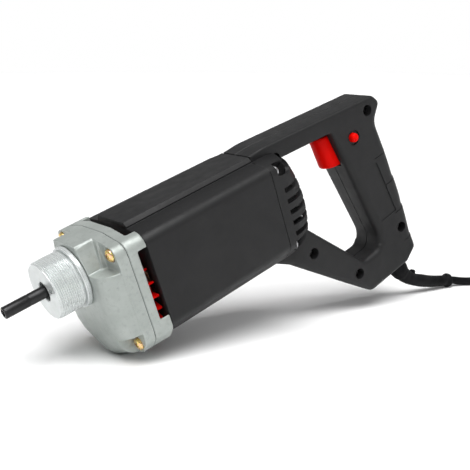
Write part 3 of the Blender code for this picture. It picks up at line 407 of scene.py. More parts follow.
def combine(target, tool, operation):
    modifier = target.modifiers.new(operation, "BOOLEAN")
    modifier.operation = operation
    modifier.solver = "EXACT"
    modifier.object = tool
    result = solid(target)
    bpy.data.objects.remove(tool, do_unlink=True)
    return result


def union(target, *tools):
    for tool in tools:
        target = combine(target, tool, "UNION")
    return target


def cut(target, *tools):
    for tool in tools:
        target = combine(target, tool, "DIFFERENCE")
    return target


def run_through(curve, places):
    """A straight-edged spline through places, added to a curve."""
    spline = curve.splines.new("POLY")
    spline.points.add(len(places) - 1)
    for point, place in zip(spline.points, places):
        point.co = (*place, 1)
    return spline


def prism(name, outline, start, end, axis="X"):
    """A flat outline extruded from start to end along an axis."""
    curve = bpy.data.curves.new(name, "CURVE")
    curve.dimensions = "2D"
    curve.fill_mode = "BOTH"
    curve.extrude = abs(end - start) / 2
    run_through(curve, [(corner[0], corner[1], 0) for corner in outline]).use_cyclic_u = True
    middle = (start + end) / 2
    if axis == "Y":
        middle = -middle
    return solid(link(name, curve), AXES[axis] @ Matrix.Translation((0, 0, middle)))


def facets(radius):
    return int(min(96, max(20, 10 * sqrt(radius))))


def turned(name, profile, axis="X", centre=(0.0, 0.0, 0.0), steps=0):
    """A profile of (distance along the axis, radius) points turned about an axis through a point."""
    steps = steps or facets(max(radius for _, radius in profile))
    closed = all(radius > 0 for _, radius in profile)
    shell = bmesh.new()
    made = []
    for height, radius in profile:
        if radius <= 0:
            made.append([shell.verts.new((0, 0, height))] * steps)
        else:
            spots = [polar(radius, 2 * pi * k / steps) for k in range(steps)]
            made.append([shell.verts.new((*spot, height)) for spot in spots])
    for first, second in zip(made, made[1:] + (made[:1] if closed else [])):
        for k in range(steps):
            j = (k + 1) % steps
            loop = list(dict.fromkeys((first[k], first[j], second[j], second[k])))
            if len(loop) > 2:
                shell.faces.new(loop)
    return solid(from_shell(name, shell), Matrix.Translation(centre) @ AXES[axis])


def across(axis, centre):
    return {"X": (0, *centre), "Y": (centre[0], 0, centre[1]), "Z": (*centre, 0)}[axis]


def cylinder(name, radius, start, end, axis="X", centre=(0.0, 0.0)):
    low, high = (-end, -start) if axis == "Y" else (start, end)
    return turned(name, [(high, 0), (high, radius), (low, radius), (low, 0)], axis, across(axis, centre))


def box(name, low, high):
    cube = bmesh.new()
    bmesh.ops.create_cube(cube, size=1.0)
    bmesh.ops.scale(cube, vec=[high[i] - low[i] for i in range(3)], verts=cube.verts)
    bmesh.ops.translate(cube, vec=[(high[i] + low[i]) / 2 for i in range(3)], verts=cube.verts)
    return from_shell(name, cube)


def tube(name, points, radii, resolution=6):
    """A round bar along points, with one radius for each point."""
    curve = bpy.data.curves.new(name, "CURVE")
    curve.dimensions = "3D"
    curve.fill_mode = "FULL"
    curve.bevel_depth = 1.0
    curve.bevel_resolution = resolution
    curve.use_fill_caps = True
    for point, radius in zip(run_through(curve, points).points, radii):
        point.radius = radius
    return solid(link(name, curve))


def loft(name, rings, closed=False):
    """A solid through rings of equal point counts, with flat ends or with its last ring on its first."""
    shell = bmesh.new()
    rows = [[shell.verts.new(point) for point in one] for one in rings]
    count = len(rows[0])
    for first, second in zip(rows, rows[1:] + (rows[:1] if closed else [])):
        for i in range(count):
            j = (i + 1) % count
            shell.faces.new((first[i], first[j], second[j], second[i]))
    if not closed:
        shell.faces.new(rows[0])
        shell.faces.new(rows[-1])
    return solid(from_shell(name, shell))


def rounded(corners):
    """An outline with its corners rounded. A corner is (u, v, radius, ...); what follows is kept."""
    outline = []
    count = len(corners)
    for i, corner in enumerate(corners):
        here = Vector(corner[:2])
        radius = corner[2]
        rest = tuple(corner[3:])
        back = (Vector(corners[i - 1][:2]) - here).normalized()
        on = (Vector(corners[(i + 1) % count][:2]) - here).normalized()
        half = back.angle(on) / 2
        if radius <= 0 or half > radians(89.5):
            outline.append((here.x, here.y, *rest))
            continue
        centre = here + (back + on).normalized() * radius / sin(half)
        first = here + back * radius / tan(half)
        last = here + on * radius / tan(half)
        steps = max(1, ceil(degrees(pi - 2 * half) / ARC_STEP))
        a0 = atan2(first.y - centre.y, first.x - centre.x)
        a1 = atan2(last.y - centre.y, last.x - centre.x)
        sweep = (a1 - a0 + pi) % (2 * pi) - pi
        for k in range(steps + 1):
            angle = a0 + sweep * k / steps
            outline.append((*polar(radius, angle, centre), *rest))
    return outline


def divided(outline, longest):
    """An outline with its long runs split, its further values mixed along them."""
    result = []
    for p, q in zip(outline, outline[1:] + outline[:1]):
        parts = max(1, ceil((Vector(q[:2]) - Vector(p[:2])).length / longest))
        for k in range(parts):
            t = k / parts
            result.append(tuple(a + (b - a) * t for a, b in zip(p, q)))
    return result


def normals(outline):
    """The inward normal at each point of an outline, lengthened at corners so that an offset stays even."""
    area = sum(p[0] * q[1] - q[0] * p[1] for p, q in zip(outline, outline[1:] + outline[:1]))
    side = 1 if area > 0 else -1
    found = []
    count = len(outline)
    for i in range(count):
        before = (Vector(outline[i][:2]) - Vector(outline[i - 1][:2])).normalized()
        after = (Vector(outline[(i + 1) % count][:2]) - Vector(outline[i][:2])).normalized()
        first = Vector((-before.y, before.x)) * side
        second = Vector((-after.y, after.x)) * side
        mean = (first + second).normalized()
        found.append(mean / max(0.35, mean.dot(first)))
    return found


def offset(outline, inward, rim_loss=0.0):
    moved = []
    for point, normal in zip(outline, normals(outline)):
        place = (point[0] + normal.x * inward, point[1] + normal.y * inward)
        rim = (max(0.6, point[2] - rim_loss),) if len(point) > 2 else ()
        moved.append((*place, *rim))
    return moved


def rimmed_slab(name, outline, side, inner_y, half_width, spread=-1.0, beyond=0.0, steps=7, lip=0.0,
                inward=None):
    """A slab on one side of the XZ plane whose outer rim is rounded by each outline point's own radius.

    A lip is the chamfer along its inner edge, where two halves meet. The inward directions are the
    outline's own unless others are given.
    """
    inward = inward or normals(outline)
    rings = [[(p[0], side * (inner_y + lip), p[1]) for p in outline]]
    if lip:
        inset = [(p[0] + n.x * lip, side * inner_y, p[1] + n.y * lip) for p, n in zip(outline, inward)]
        rings.insert(0, inset)
    for k in range(steps + 1):
        angle = radians(90.0 * k / steps)
        one = []
        for point, normal in zip(outline, inward):
            shift = -spread * point[2] * (1 - cos(angle))
            depth = half_width - point[2] * (1 - sin(angle))
            one.append((point[0] + normal.x * shift, side * depth, point[1] + normal.y * shift))
        rings.append(one)
    if beyond:
        rings.append([(x, y + side * beyond, z) for x, y, z in rings[-1]])
    return loft(name, rings)


def mirrored(points):
    return [(side * y, z) for y, z in points for side in (-1, 1)]


def both_sides(right):
    """The closed outline of a half given from top to bottom on the right."""
    return rounded([*right, *[(-c[0], *c[1:]) for c in reversed(right)]])


def radial(outline, centre, angle):
    """Where a ray from a centre leaves an outline."""
    direction = Vector((cos(angle), sin(angle)))
    best = 0.0
    for p, q in zip(outline, outline[1:] + outline[:1]):
        a = Vector(p[:2]) - Vector(centre)
        b = Vector(q[:2]) - Vector(centre)
        edge = b - a
        denominator = direction.x * edge.y - direction.y * edge.x
        if abs(denominator) < 1e-9:
            continue
        distance = (a.x * edge.y - a.y * edge.x) / denominator
        along = (a.x * direction.y - a.y * direction.x) / denominator
        if -1e-6 <= along <= 1 + 1e-6:
            best = max(best, distance)
    return Vector(centre) + direction * best


def softened(obj, voxel, passes):
    """Remesh a solid evenly and smooth it, which leaves the soft fillets of a casting."""
    remesh = obj.modifiers.new("voxels", "REMESH")
    remesh.mode = "VOXEL"
    remesh.voxel_size = voxel
    smooth = obj.modifiers.new("fillets", "SMOOTH")
    smooth.factor = 0.5
    smooth.iterations = passes
    return solid(obj)


def settle(obj, body, slot, shade, *nodes, smooth=40.0):
    """Put a shaped piece in the row frame, finish it, and hang it on its body in place of CAD nodes."""
    obj.data.transform(TO_ROW)
    return finish(obj, body, slot, shade, *nodes, smooth=smooth)


def finish(obj, body, slot, shade, *nodes, smooth=40.0):
    obj.data.materials.clear()
    obj.data.materials.append(shade)
    obj.data.shade_smooth()
    if smooth:
        obj.data.set_sharp_from_angle(angle=radians(smooth))
    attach(obj, body)
    if nodes:
        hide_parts(*nodes)
    return obj


# --- free cord
CORD_REST_Z = 0.0037          # middle of the cord where it lies on the floor
LEAD_ROUTE = ((0.2164, 0.0, 0.0062), (0.2226, -0.0008, 0.0052), (0.230, -0.0034, 0.0040),
              (0.238, -0.0068, CORD_REST_Z), (0.2465, -0.0095, CORD_REST_Z), (0.2558, -0.0107, CORD_REST_Z),
              (0.266, -0.0104, CORD_REST_Z), (0.276, -0.0095, CORD_REST_Z))
TAIL_ROUTE = ((0.274, -0.1023, 0.0108), (0.263, -0.1013, 0.0102), (0.2524, -0.0994, 0.0090),
              (0.247, -0.0964, 0.0081), (0.2424, -0.0924, 0.0074), (0.238, -0.0896, 0.0070))
COIL_CENTRE = (0.286, -0.056)
COIL_OUTER_R = 0.0468         # middle of the outermost turn
COIL_TURNS = 7.5
COIL_WIDE = 4


def smooth_route(points, spacing):
    """Points at an even spacing on a smooth curve through a few."""
    route = [Vector(p) for p in points]
    ends = [route[0] * 2 - route[1], *route, route[-1] * 2 - route[-2]]
    dense = []
    for a, b, c, d in zip(ends, ends[1:], ends[2:], ends[3:]):
        for i in range(24):
            t = i / 24
            dense.append(0.5 * ((2 * b) + (c - a) * t + (2 * a - 5 * b + 4 * c - d) * t * t +
                                (3 * b - a - 3 * c + d) * t ** 3))
    dense.append(route[-1])
    length = sum((q - p).length for p, q in zip(dense, dense[1:]))
    count = max(4, round(length / spacing))
    picked = [dense[0]]
    run, target = 0.0, length / count
    for p, q in zip(dense, dense[1:]):
        step = (q - p).length
        while run + step >= target - 1e-12 and len(picked) < count:
            picked.append(p.lerp(q, (target - run) / step))
            target += length / count
        run += step
    return [*picked, dense[-1]]


def eased(t):
    t = max(0.0, min(1.0, t))
    return t * t * (3 - 2 * t)


def coil_points():
    """Turns wound inward on the floor, then outward on top of them; each moves over near its end."""
    window = 0.2
    step = 2 * CORD_R
    points = []
    samples = 24
    for i in range(int(COIL_TURNS * samples) + 1):
        turns = i / samples
        turn = int(turns)
        late = (turns - turn - (1 - window)) / window
        across = eased(late)
        if turn < COIL_WIDE - 1:
            inward, level = turn + across, 0.0
        elif turn == COIL_WIDE - 1:
            inward, level = COIL_WIDE - 1, eased(1.5 * late)
        else:
            inward, level = 2 * COIL_WIDE - 1 - turn - across, 1.0
        angle = pi / 2 - 2 * pi * turns
        spot = polar(COIL_OUTER_R - step * inward, angle, COIL_CENTRE)
        points.append(Vector((*spot, CORD_REST_Z + step * level)))
    return points


def make_cord(shade, plug_shade, pin_shade):
    spacing = 0.006
    lead = smooth_route(LEAD_ROUTE, spacing)
    tail = smooth_route(TAIL_ROUTE, spacing)
    curve = bpy.data.curves.new("mains_cord", "CURVE")
    curve.dimensions = "3D"
    curve.bevel_depth = CORD_R
    curve.bevel_resolution = 6
    curve.use_fill_caps = True
    run_through(curve, [*lead, *coil_points(), *tail])
    cord = link("mains_cord", curve)
    curve.materials.append(shade)
    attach(cord, "tool")
    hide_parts("cord_lead", "cord_coil", "cord_tail")
    plug = make_plug(plug_shade)
    for number in (1, 2):
        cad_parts[f"plug_pin_{number}"].data.materials[0] = pin_shade


def make_plug(shade):
    """Moulded two-pin plug with finger grooves."""
    low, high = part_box("plug")
    x = high[0] / MM
    y = (low[1] + high[1]) / 2 / MM
    z = (low[2] + high[2]) / 2 / MM
    half = (high[2] - low[2]) / 2 / MM
    body = rounded([(0.0, -6.5, 3.0), (0.0, 6.5, 3.0), (-16.0, 11.0, 16.0), (-24.0, 17.5, 7.0),
                    (-34.0, 17.5, 3.0), (-34.0, -17.5, 3.0), (-24.0, -17.5, 7.0), (-16.0, -11.0, 16.0)])
    plug = prism("plug_body", body, -half, half, "Z")
    for side in (-1, 1):
        for k in range(4):
            groove = cylinder("groove", 0.9, -20.0, 20.0, "X", (0.0, side * (half + 0.35)))
            groove.data.transform(Matrix.Rotation(pi / 2, 4, "Z"))
            groove.data.transform(Matrix.Translation((-9.0 - 3.2 * k, 0.0, 0.0)))
            plug = cut(plug, groove)
    modifier = plug.modifiers.new("edges", "BEVEL")
    modifier.width = 1.3
    modifier.segments = 3
    modifier.limit_method = "ANGLE"
    modifier.angle_limit = radians(50)
    plug = solid(plug)
    for side in (-1, 1):
        plug = cut(plug, cylinder("pin_hole", 2.2, -40.0, -30.0, "X", (side * 9.5, 0.0)))
    plug.data.transform(Matrix.Translation((x, y, z)))
    plug.data.transform(Matrix.Scale(MM, 4))
    return finish(plug, "tool", "rubber", shade, "plug", smooth=35.0)


# --- gear case
def case_outline():
    return both_sides([(15.6, 24.6, 3.0), (42.5, 20.0, 9.0), (42.5, -50.5, 9.0), (33.5, -60.0, 10.0),
                       (16.0, -64.6, 16.0), (5.0, -69.6, 8.0)])


def foot_facet(obj):
    """Plane off the lowest strip, on which the standing tool rests."""
    block = box("facet", (-60, -40, -60), (60, 40, 0))
    low = TO_ROW.inverted() @ Vector((0, 0, 0.00003))
    centre = Vector((47.0, 0, 0))
    up = Vector((sin(PITCH), 0, cos(PITCH)))
    block.data.transform(Matrix.Rotation(PITCH, 4, "Y"))
    block.data.transform(Matrix.Translation(centre + up * (up.dot(low) - up.dot(centre))))
    return cut(obj, block)


def make_cover(shade):
    """Cast cover: flange, domed lower part, flat roof over the gear, pockets for the upper screws."""
    steps = 120
    centre = (0.0, -20.0)
    front = both_sides([(19.0, 24.0, 14.0), (24.3, 8.0, 16.0), (24.3, -14.0, 20.0), (8.0, -44.5, 7.5)])
    back = offset(case_outline(), 0.8)
    rings = []
    levels = 16
    for k in range(levels + 1):
        u = (k / levels) ** 1.5
        share = sqrt(1 - (1 - u) ** 2) ** 0.92
        one = []
        for i in range(steps):
            angle = 2 * pi * (i + 0.5) / steps
            spot = radial(front, centre, angle).lerp(radial(back, centre, angle), share)
            one.append((COVER_FRONT + (FLANGE_FRONT + 0.2 - COVER_FRONT) * u, spot.x, spot.y))
        rings.append(one)
    cover = loft("cast_gear_cover", rings)
    for side in (-1, 1):
        pocket = rounded([(60, 60, 0), (15.8, 60, 0), (16.6, 23.4, 2.0), (21.0, 4.6, 6.0), (60, 3.4, 0)])
        cover = cut(cover, prism("pocket", [(side * y, z) for y, z in pocket], 10.0, FLANGE_FRONT))
        corner = [(26.0, -46.0), (60.0, -39.6), (60.0, -80.0), (25.0, -80.0)]
        cover = cut(cover, prism("corner", [(side * y, z) for y, z in corner], 10.0, FLANGE_FRONT))
    roof = both_sides([(15.6, 24.6, 1.6), (23.0, 6.0, 0.0), (20.0, -4.0, 0.0)])
    cover = union(cover, prism("roof", roof, COVER_FRONT, FLANGE_FRONT + 1.0))
    for side in (-1, 1):
        low, high = [
            [(front_x, side * 14.0, inner_z), (front_x, side * wide, outer_z),
             (39.5, side * wide, outer_z), (39.5, side * 14.0, inner_z)]
            for front_x, wide, inner_z, outer_z in ((34.0, 24.6, 3.4, 3.4), (37.8, 21.4, 23.4, 23.0))
        ]
        cover = union(cover, loft("wedge", [low, high]))
    cover = union(cover, prism("flange", case_outline(), FLANGE_FRONT, COVER_REAR))
    cover = cut(cover, cylinder("hub_bore", 18.6, 20.0, 40.0))
    for y, z in mirrored(CASE_SCREWS):
        face = FLANGE_FRONT + 0.7
        cover = cut(cover, cylinder("spot_face", 5.4, 18.0, face, "X", (y, z)))
        cover = cut(cover, cylinder("hole", 2.4, face - 2, COVER_REAR + 2, "X", (y, z)))
    cover = softened(foot_facet(cover), 0.5, 3)
    return settle(cover, "tool", "cast_aluminium", shade, "gear_case_cover", smooth=0)


def make_plate(shade):
    """Cast bearing plate with corner lugs."""
    plate = prism("cast_bearing_plate", case_outline(), PLATE_X[0], LUG_END)
    right = [(33.2, 50.0, 0), (31.4, 11.2, 2.0), (60.0, 12.6, 0), (60.0, -29.6, 0), (29.8, -46.7, 4.0),
             (26.0, -90.0, 0)]
    plate = cut(plate, prism("windows", both_sides(right), PLATE_X[1], LUG_END + 5))
    plate = union(plate, cylinder("motor_boss", 17.0, PLATE_X[1] - 1, 57.5, "X", (0, MOTOR_Z)))
    plate = cut(plate, cylinder("motor_pocket", 13.3, 49.0, 60.0, "X", (0, MOTOR_Z)))
    plate = cut(plate, cylinder("motor_hole", 7.4, 40.0, 50.0, "X", (0, MOTOR_Z)))
    plate = softened(foot_facet(plate), 0.6, 4)
    return settle(plate, "tool", "cast_aluminium", shade, "bearing_plate", smooth=0)


def make_gasket(shade):
    gasket = prism("paper_gasket", offset(case_outline(), 0.12), 46.5, 46.9)
    gasket = cut(gasket, cylinder("hollow", 21.6, 40.0, 50.0))
    return settle(gasket, "tool", "rubber", shade, "gear_case_gasket")


def make_spigot(shade):
    """Turned nose: a fine right-hand thread, a neck, the collar and the pressed-in tail."""
    around, along = 96, 8
    depth = 0.72
    turns = THREAD_END / THREAD_PITCH
    rows = []
    count = int(turns * along)
    for i in range(count + 1):
        x = THREAD_END * i / count
        fade = min(1.0, x / 1.0, (THREAD_END - x) / 0.8)
        one = []
        for k in range(around):
            angle = 2 * pi * k / around
            phase = (x / THREAD_PITCH - k / around) % 1.0
            ridge = abs(2 * phase - 1)
            chamfer = max(0.0, 1.0 - x)
            radius = THREAD_R - chamfer - depth * fade * min(1.0, max(0.0, 1.25 * ridge - 0.12))
            one.append((x, *polar(radius, angle)))
        rows.append(one)
    neck = ((THREAD_END + 0.1, 19.6), (20.0, 19.6), (20.0, 22.0), (20.5, 22.5), (23.2, 22.5), (23.7, 22.1),
            (23.7, 18.3), (30.7, 18.3), (30.7, 14.3), (5.0, 14.3), (5.0, 7.0), (0.6, 7.0), (0.0, 7.6))
    for x, radius in neck:
        rows.append([(x, *polar(radius, 2 * pi * k / around)) for k in range(around)])
    spigot = loft("turned_nose", rows, closed=True)
    spigot = cut(spigot, box("key_slot", (-1.0, -13.6, 1.4), (1.4, -9.6, 4.4)))
    return settle(spigot, "tool", "machined_aluminium", shade, "threaded_spigot", smooth=30.0)


def make_spindle(shade):
    profile = [
        (-31.0, 0.0), (-31.0, 3.6), (-30.8, 3.95), (-30.3, 4.25), (-12.4, 4.25), (-12.1, 4.1), (-11.6, 4.1),
        (-11.3, 4.25), (5.0, 4.25), (5.4, 6.0), (21.0, 6.0), (21.0, 9.0), (31.7, 9.0), (31.7, 7.0),
        (44.2, 7.0), (44.2, 5.4), (45.0, 4.0), (51.9, 4.0), (51.9, 0.0),
    ]
    spindle = turned("spindle_bar", profile, steps=48)
    hexagon = [polar(2.9, 2 * pi * i / 6) for i in range(6)]
    spindle = cut(spindle, prism("socket", hexagon, -40.0, -19.0))
    return settle(spindle, "spindle", "blackened_steel", shade, "drive_spindle", smooth=30.0)


# --- motor
def housing_outline():
    return both_sides([(17.6, 25.0, 1.2), (20.4, 21.9, 0.6), (20.0, 20.9, 0.35), (21.6, 20.5, 0.6),
                       (42.0, 18.6, 7.5), (42.0, -48.0, 8.0), (30.0, -58.5, 12.0), (13.0, -67.0, 12.0)])


def tapered(x, y, z):
    share = (x - HOUSING_X[0]) / (HOUSING_X[1] - HOUSING_X[0])
    if z < 0:
        z *= 1 + (HOUSING_TAPER_Z - 1) * share
    return (x, y * (1 + (HOUSING_TAPER_Y - 1) * share), z)


def make_housing(shade):
    """Moulded motor housing with a raised rail along its top and softened end edges."""
    outline = divided(housing_outline(), 6.0)
    front, rear = HOUSING_X
    edge = 0.7
    stations = ((front, edge), (front + 0.3 * edge, 0.3 * edge), (front + edge, 0.0), (100.0, 0.0),
                (137.0, 0.0), (rear - 0.3, 0.0), (rear, 0.25))
    rings = [[tapered(x, p[0], p[1]) for p in offset(outline, inset)] for x, inset in stations]
    housing = loft("moulded_motor_housing", rings)
    axis = (0.0, MOTOR_Z)
    bores = (("fan_bore", 38.0, 55.0, 68.2), ("stator_bore", 36.4, 60.0, 157.5),
             ("rear_bore", 31.5, 150.0, 163.0), ("bearing_pocket", 11.3, 160.0, 170.6))
    for name, radius, start, end in bores:
        housing = cut(housing, cylinder(name, radius, start, end, "X", axis))
    for angle in range(45, 405, 90):
        spot = polar(22.0, radians(angle), axis)
        housing = cut(housing, cylinder("air_hole", 7.0, 155.0, 180.0, "X", spot))
    return settle(housing, "tool", "black_plastic", shade, "motor_housing", smooth=30.0)


def make_fan(shade):
    """Red radial fan with straight blades."""
    profile = [(58.3, 6.3), (58.3, 10.0), (58.8, 10.5), (60.6, 11.2), (61.0, 12.5), (61.0, 25.6),
               (61.4, 26.0), (62.4, 26.0), (62.4, 12.5), (66.0, 10.5), (66.0, 6.3)]
    fan = turned("red_fan", profile, steps=96)
    blades = 23
    for index in range(blades):
        blade = box("blade", (55.4, 19.6, -0.65), (61.4, 36.9, 0.65))
        blade.data.transform(Matrix.Rotation(2 * pi * (index + 0.5) / blades, 4, "X"))
        fan = union(fan, blade)
    fan.data.transform(Matrix.Translation((0, 0, MOTOR_Z)))
    return settle(fan, "armature", "red_plastic", shade, "cooling_fan", smooth=35.0)


# --- handle
def handle_outline(seam):
    return divided(rounded([
        (seam, 25.4, 0.0, 2.4), (189.0, 26.6, 20.0, 2.4), (303.5, 23.6, 6.0, 3.0),
        (310.6, 16.5, 5.0, 4.0), (302.6, 0.0, 14.0, 7.0), (307.6, -22.0, 20.0, 9.0),
        (314.6, -66.0, 60.0, 10.0), (317.6, -106.0, 30.0, 10.0), (317.2, -119.6, 6.0, 7.0),
        (303.6, -127.9, 5.0, 5.0), (291.0, -128.9, 9.0, 4.0), (258.9, -133.1, 8.0, 4.5),
        (188.0, -72.4, 14.0, 4.0), (seam, -64.4, 0.0, 3.0),
    ]), 5.0)


def opening_outline():
    return divided(rounded([
        (197.0, 12.2, 0.0, 2.0), (254.4, 11.0, 2.5, 2.0), (260.7, -14.0, 6.0, 5.0),
        (280.0, -92.5, 14.0, 7.0), (275.0, -101.6, 7.0, 5.0), (257.5, -104.0, 6.0, 4.0),
        (246.0, -91.5, 10.0, 3.5), (208.5, -49.8, 6.0, 3.0), (197.0, -47.0, 0.0, 2.0),
    ]), 5.0)


def cap_half_width(z):
    spots = [(p[0] * HOUSING_TAPER_Y, p[1] * (HOUSING_TAPER_Z if p[1] < 0 else 1)) for p in housing_outline()]
    widths = []
    for p, q in zip(spots, spots[1:] + spots[:1]):
        if (p[1] - z) * (q[1] - z) <= 0 and p[1] != q[1]:
            widths.append(p[0] + (q[0] - p[0]) * (z - p[1]) / (q[1] - p[1]))
    return max(widths)


def cap_rear(z):
    reach = CAP_REAR - 10.0 * ((z + 21.0) / 40.0) ** 2
    if z > 13.0:
        reach -= CAP_TOP_R - sqrt(max(0.0, CAP_TOP_R ** 2 - (z - 13.0) ** 2))
    return reach


def end_cap(name, side, wall, front):
    """The rounded rear end of the motor body, from level slices with a rounded rear corner."""
    lowest, highest = CAP_LEVELS
    low, high = lowest + wall, highest - wall
    rings = []
    levels = 40
    corners = 14
    for k in range(levels + 1):
        z = low + (high - low) * (0.5 - 0.5 * cos(pi * k / levels))
        width = cap_half_width(max(lowest, min(highest, z * (1.02 if wall > 0 else 1)))) - wall
        reach = cap_rear(z) - wall
        corner = min(CAP_CORNER_R - wall, width - 3.0)
        one = [(front, side * width, z)]
        for i in range(corners):
            angle = radians(90.0 * i / (corners - 1))
            across_y = side * (width - corner * (1 - cos(angle)))
            one.append((reach - corner + corner * sin(angle), across_y, z))
        one += [(reach, side * (SEAM_HALF + SEAM_LIP), z), (reach - SEAM_LIP, side * SEAM_HALF, z),
                (front, side * SEAM_HALF, z)]
        rings.append(one)
    return loft(name, rings)


def ribbed(outline):
    """The handle's outline with its rear edge drawn in a little towards each finger rib's lower end.

    Returns it with the inward directions of the plain outline.
    """
    fine = []
    for p, q in zip(outline, outline[1:] + outline[:1]):
        rear = min(p[0], q[0]) > 300.0 and max(p[1], q[1]) < -16.0
        parts = max(1, ceil(dist(p[:2], q[:2]) / 1.7)) if rear else 1
        fine += [tuple(a + (b - a) * k / parts for a, b in zip(p, q)) for k in range(parts)]
    inward = normals(fine)
    moved = []
    for point, normal in zip(fine, inward):
        inset = 0.0
        for high, low in zip(RIB_LEVELS, RIB_LEVELS[1:]):
            if low < point[1] <= high and point[0] > 300.0:
                inset = 0.9 * ((high - point[1]) / (high - low)) ** 2
        moved.append((point[0] + normal.x * inset, point[1] + normal.y * inset, *point[2:]))
    return moved, inward


def rib_grooves(side):
    """Narrow grooves round the rear rim at the top of each finger rib."""
    outline = handle_outline(SEAM_X)
    skin = rimmed_slab("skin", offset(outline, -1.0), side, -2.0, HANDLE_W + 1.0)
    skin = cut(skin, rimmed_slab("core", offset(outline, 0.9, 0.9), side, -5.0, HANDLE_W - 0.55))
    bands = None
    for level, start in zip(RIB_LEVELS, (291.5, 297.0, 301.0, 304.5)):
        tilt = 0.1 * (start - 325.0)
        band = prism("band", [(start, level + tilt - 0.45), (325.0, level - 0.45), (325.0, level + 0.45),
                              (start, level + tilt + 0.3)], *sorted((-side * 3.0, side * 20.0)), "Y")
        bands = union(bands, band) if bands else band
    return combine(skin, bands, "INTERSECT")


def grip_panel(side):
    """A shallow field on the grip's side: flush at its front, sunk behind a step at its rear and below."""
    corners = ((275.0, -28.8, 0.0), (292.8, -30.2, 0.7), (302.3, -77.6, 0.7), (283.4, -79.6, 0.35))
    floor = [(x, side * (HANDLE_W - depth), z) for x, z, depth in corners]
    roof = [(x, side * (HANDLE_W + 2.0), z) for x, z, _ in corners]
    return loft("grip_panel", [floor, roof])


def vent_slot(side, level):
    low, high = level - SLOT_HEIGHT / 2, level + SLOT_HEIGHT / 2
    ends = rounded([(182.0, -60, 1.2), (225, -60, 0), (225, -16.5, 0), (196.0, -16.5, 1.0), (182.0, -30, 0)])
    return prism("vent", [(x, side * -y) for x, y in ends], low, high, "Z")


BOOT_PATH = ((296.5, -115.8), (299.1, -123.4), (300.4, -127.3), (302.2, -131.6), (304.6, -138.0),
             (306.3, -142.0), (308.6, -145.6), (312.6, -150.7), (319.4, -156.9), (327.4, -162.1),
             (337.0, -167.9), (347.0, -173.0), (356.2, -177.1), (357.4, -177.6), (359.4, -178.5),
             (360.1, -178.8))
BOOT_RADII = (7.2, 7.2, 6.0, 8.3, 8.3, 7.6, 6.6, 6.1, 5.5, 5.7, 5.4, 5.1, 4.9, 6.38, 6.38, 6.0)


def boot_hole():
    points = [(x, 0.0, z) for x, z in BOOT_PATH[:6]]
    return tube("boot_hole", points, [7.9, 7.9, 6.9, 9.0, 9.0, 8.4])


def make_shell(side, shade):
    """One moulded half of the handle."""
    name = "moulded_handle_left" if side < 0 else "moulded_handle_right"
    opening = opening_outline()
    outline, inward = ribbed(handle_outline(SEAM_X))
    shell = rimmed_slab(name, outline, side, SEAM_HALF, HANDLE_W, lip=SEAM_LIP, inward=inward)
    shell = cut(shell, rimmed_slab("opening", opening, side, -5.0, HANDLE_W, 1.0, 6.0))
    shell = union(shell, end_cap("cap", side, 0.0, SEAM_X))
    core = offset(handle_outline(SEAM_X - 8.0), WALL, WALL)
    hollow = rimmed_slab("hollow", core, side, -5.0, HANDLE_W - WALL, steps=2)
    keep = prism("keep", [p[:2] for p in offset(opening, -WALL)], -30.0, 30.0, "Y")
    hollow = union(cut(hollow, keep), end_cap("cap_hollow", side, WALL, SEAM_X - 5.0))
    shell = cut(shell, hollow)
    for x, z in HANDLE_SCREWS:
        ends = sorted((side * SEAM_HALF, side * (HANDLE_W - 1.6)))
        shell = union(shell, cylinder("boss", 6.8 if side < 0 else 5.0, *ends, "Y", (x, z)))
    for y, z in HOUSING_SCREWS:
        ear = cylinder("ear", 7.0, SEAM_X, 180.2, "X", (side * y * 0.97, z))
        shell = union(shell, combine(ear, end_cap("trim", side, 0.15, SEAM_X - 5.0), "INTERSECT"))
    for x, z in HANDLE_SCREWS:
        if side < 0:
            shell = cut(shell, cylinder("head_hole", 4.6, -70.0, -8.5, "Y", (x, z)))
            shell = cut(shell, cylinder("shank_hole", 2.25, -9.5, 5.0, "Y", (x, z)))
    for y, z in HOUSING_SCREWS:
        shell = cut(shell, cylinder("head_recess", 5.7, 180.2, 220.0, "X", (side * y, z)))
        shell = cut(shell, cylinder("shank_hole", 2.3, 170.0, 182.0, "X", (side * y, z)))
    shell = cut(shell, rib_grooves(side), grip_panel(side))
    for level in SLOT_LEVELS:
        shell = cut(shell, vent_slot(side, level))
    mouth = [(245.0, -21.4), (267.0, -21.4), (267.0, 9.6), (245.0, 9.6)]
    shell = cut(shell, prism("trigger_mouth", mouth, *sorted((-side * 5.0, side * 9.3)), "Y"))
    if side < 0:
        shell = cut(shell, cylinder("lock_hole", 4.1, -20.0, -10.0, "Y", LOCK_XZ))
        shell = cut(shell, cylinder("lock_recess", 6.2, -20.0, -HANDLE_W + 1.2, "Y", LOCK_XZ))
    shell = cut(shell, boot_hole())
    node = "handle_left_shell" if side < 0 else "handle_right_shell"
    return settle(shell, "tool", "black_plastic", shade, node, smooth=30.0)


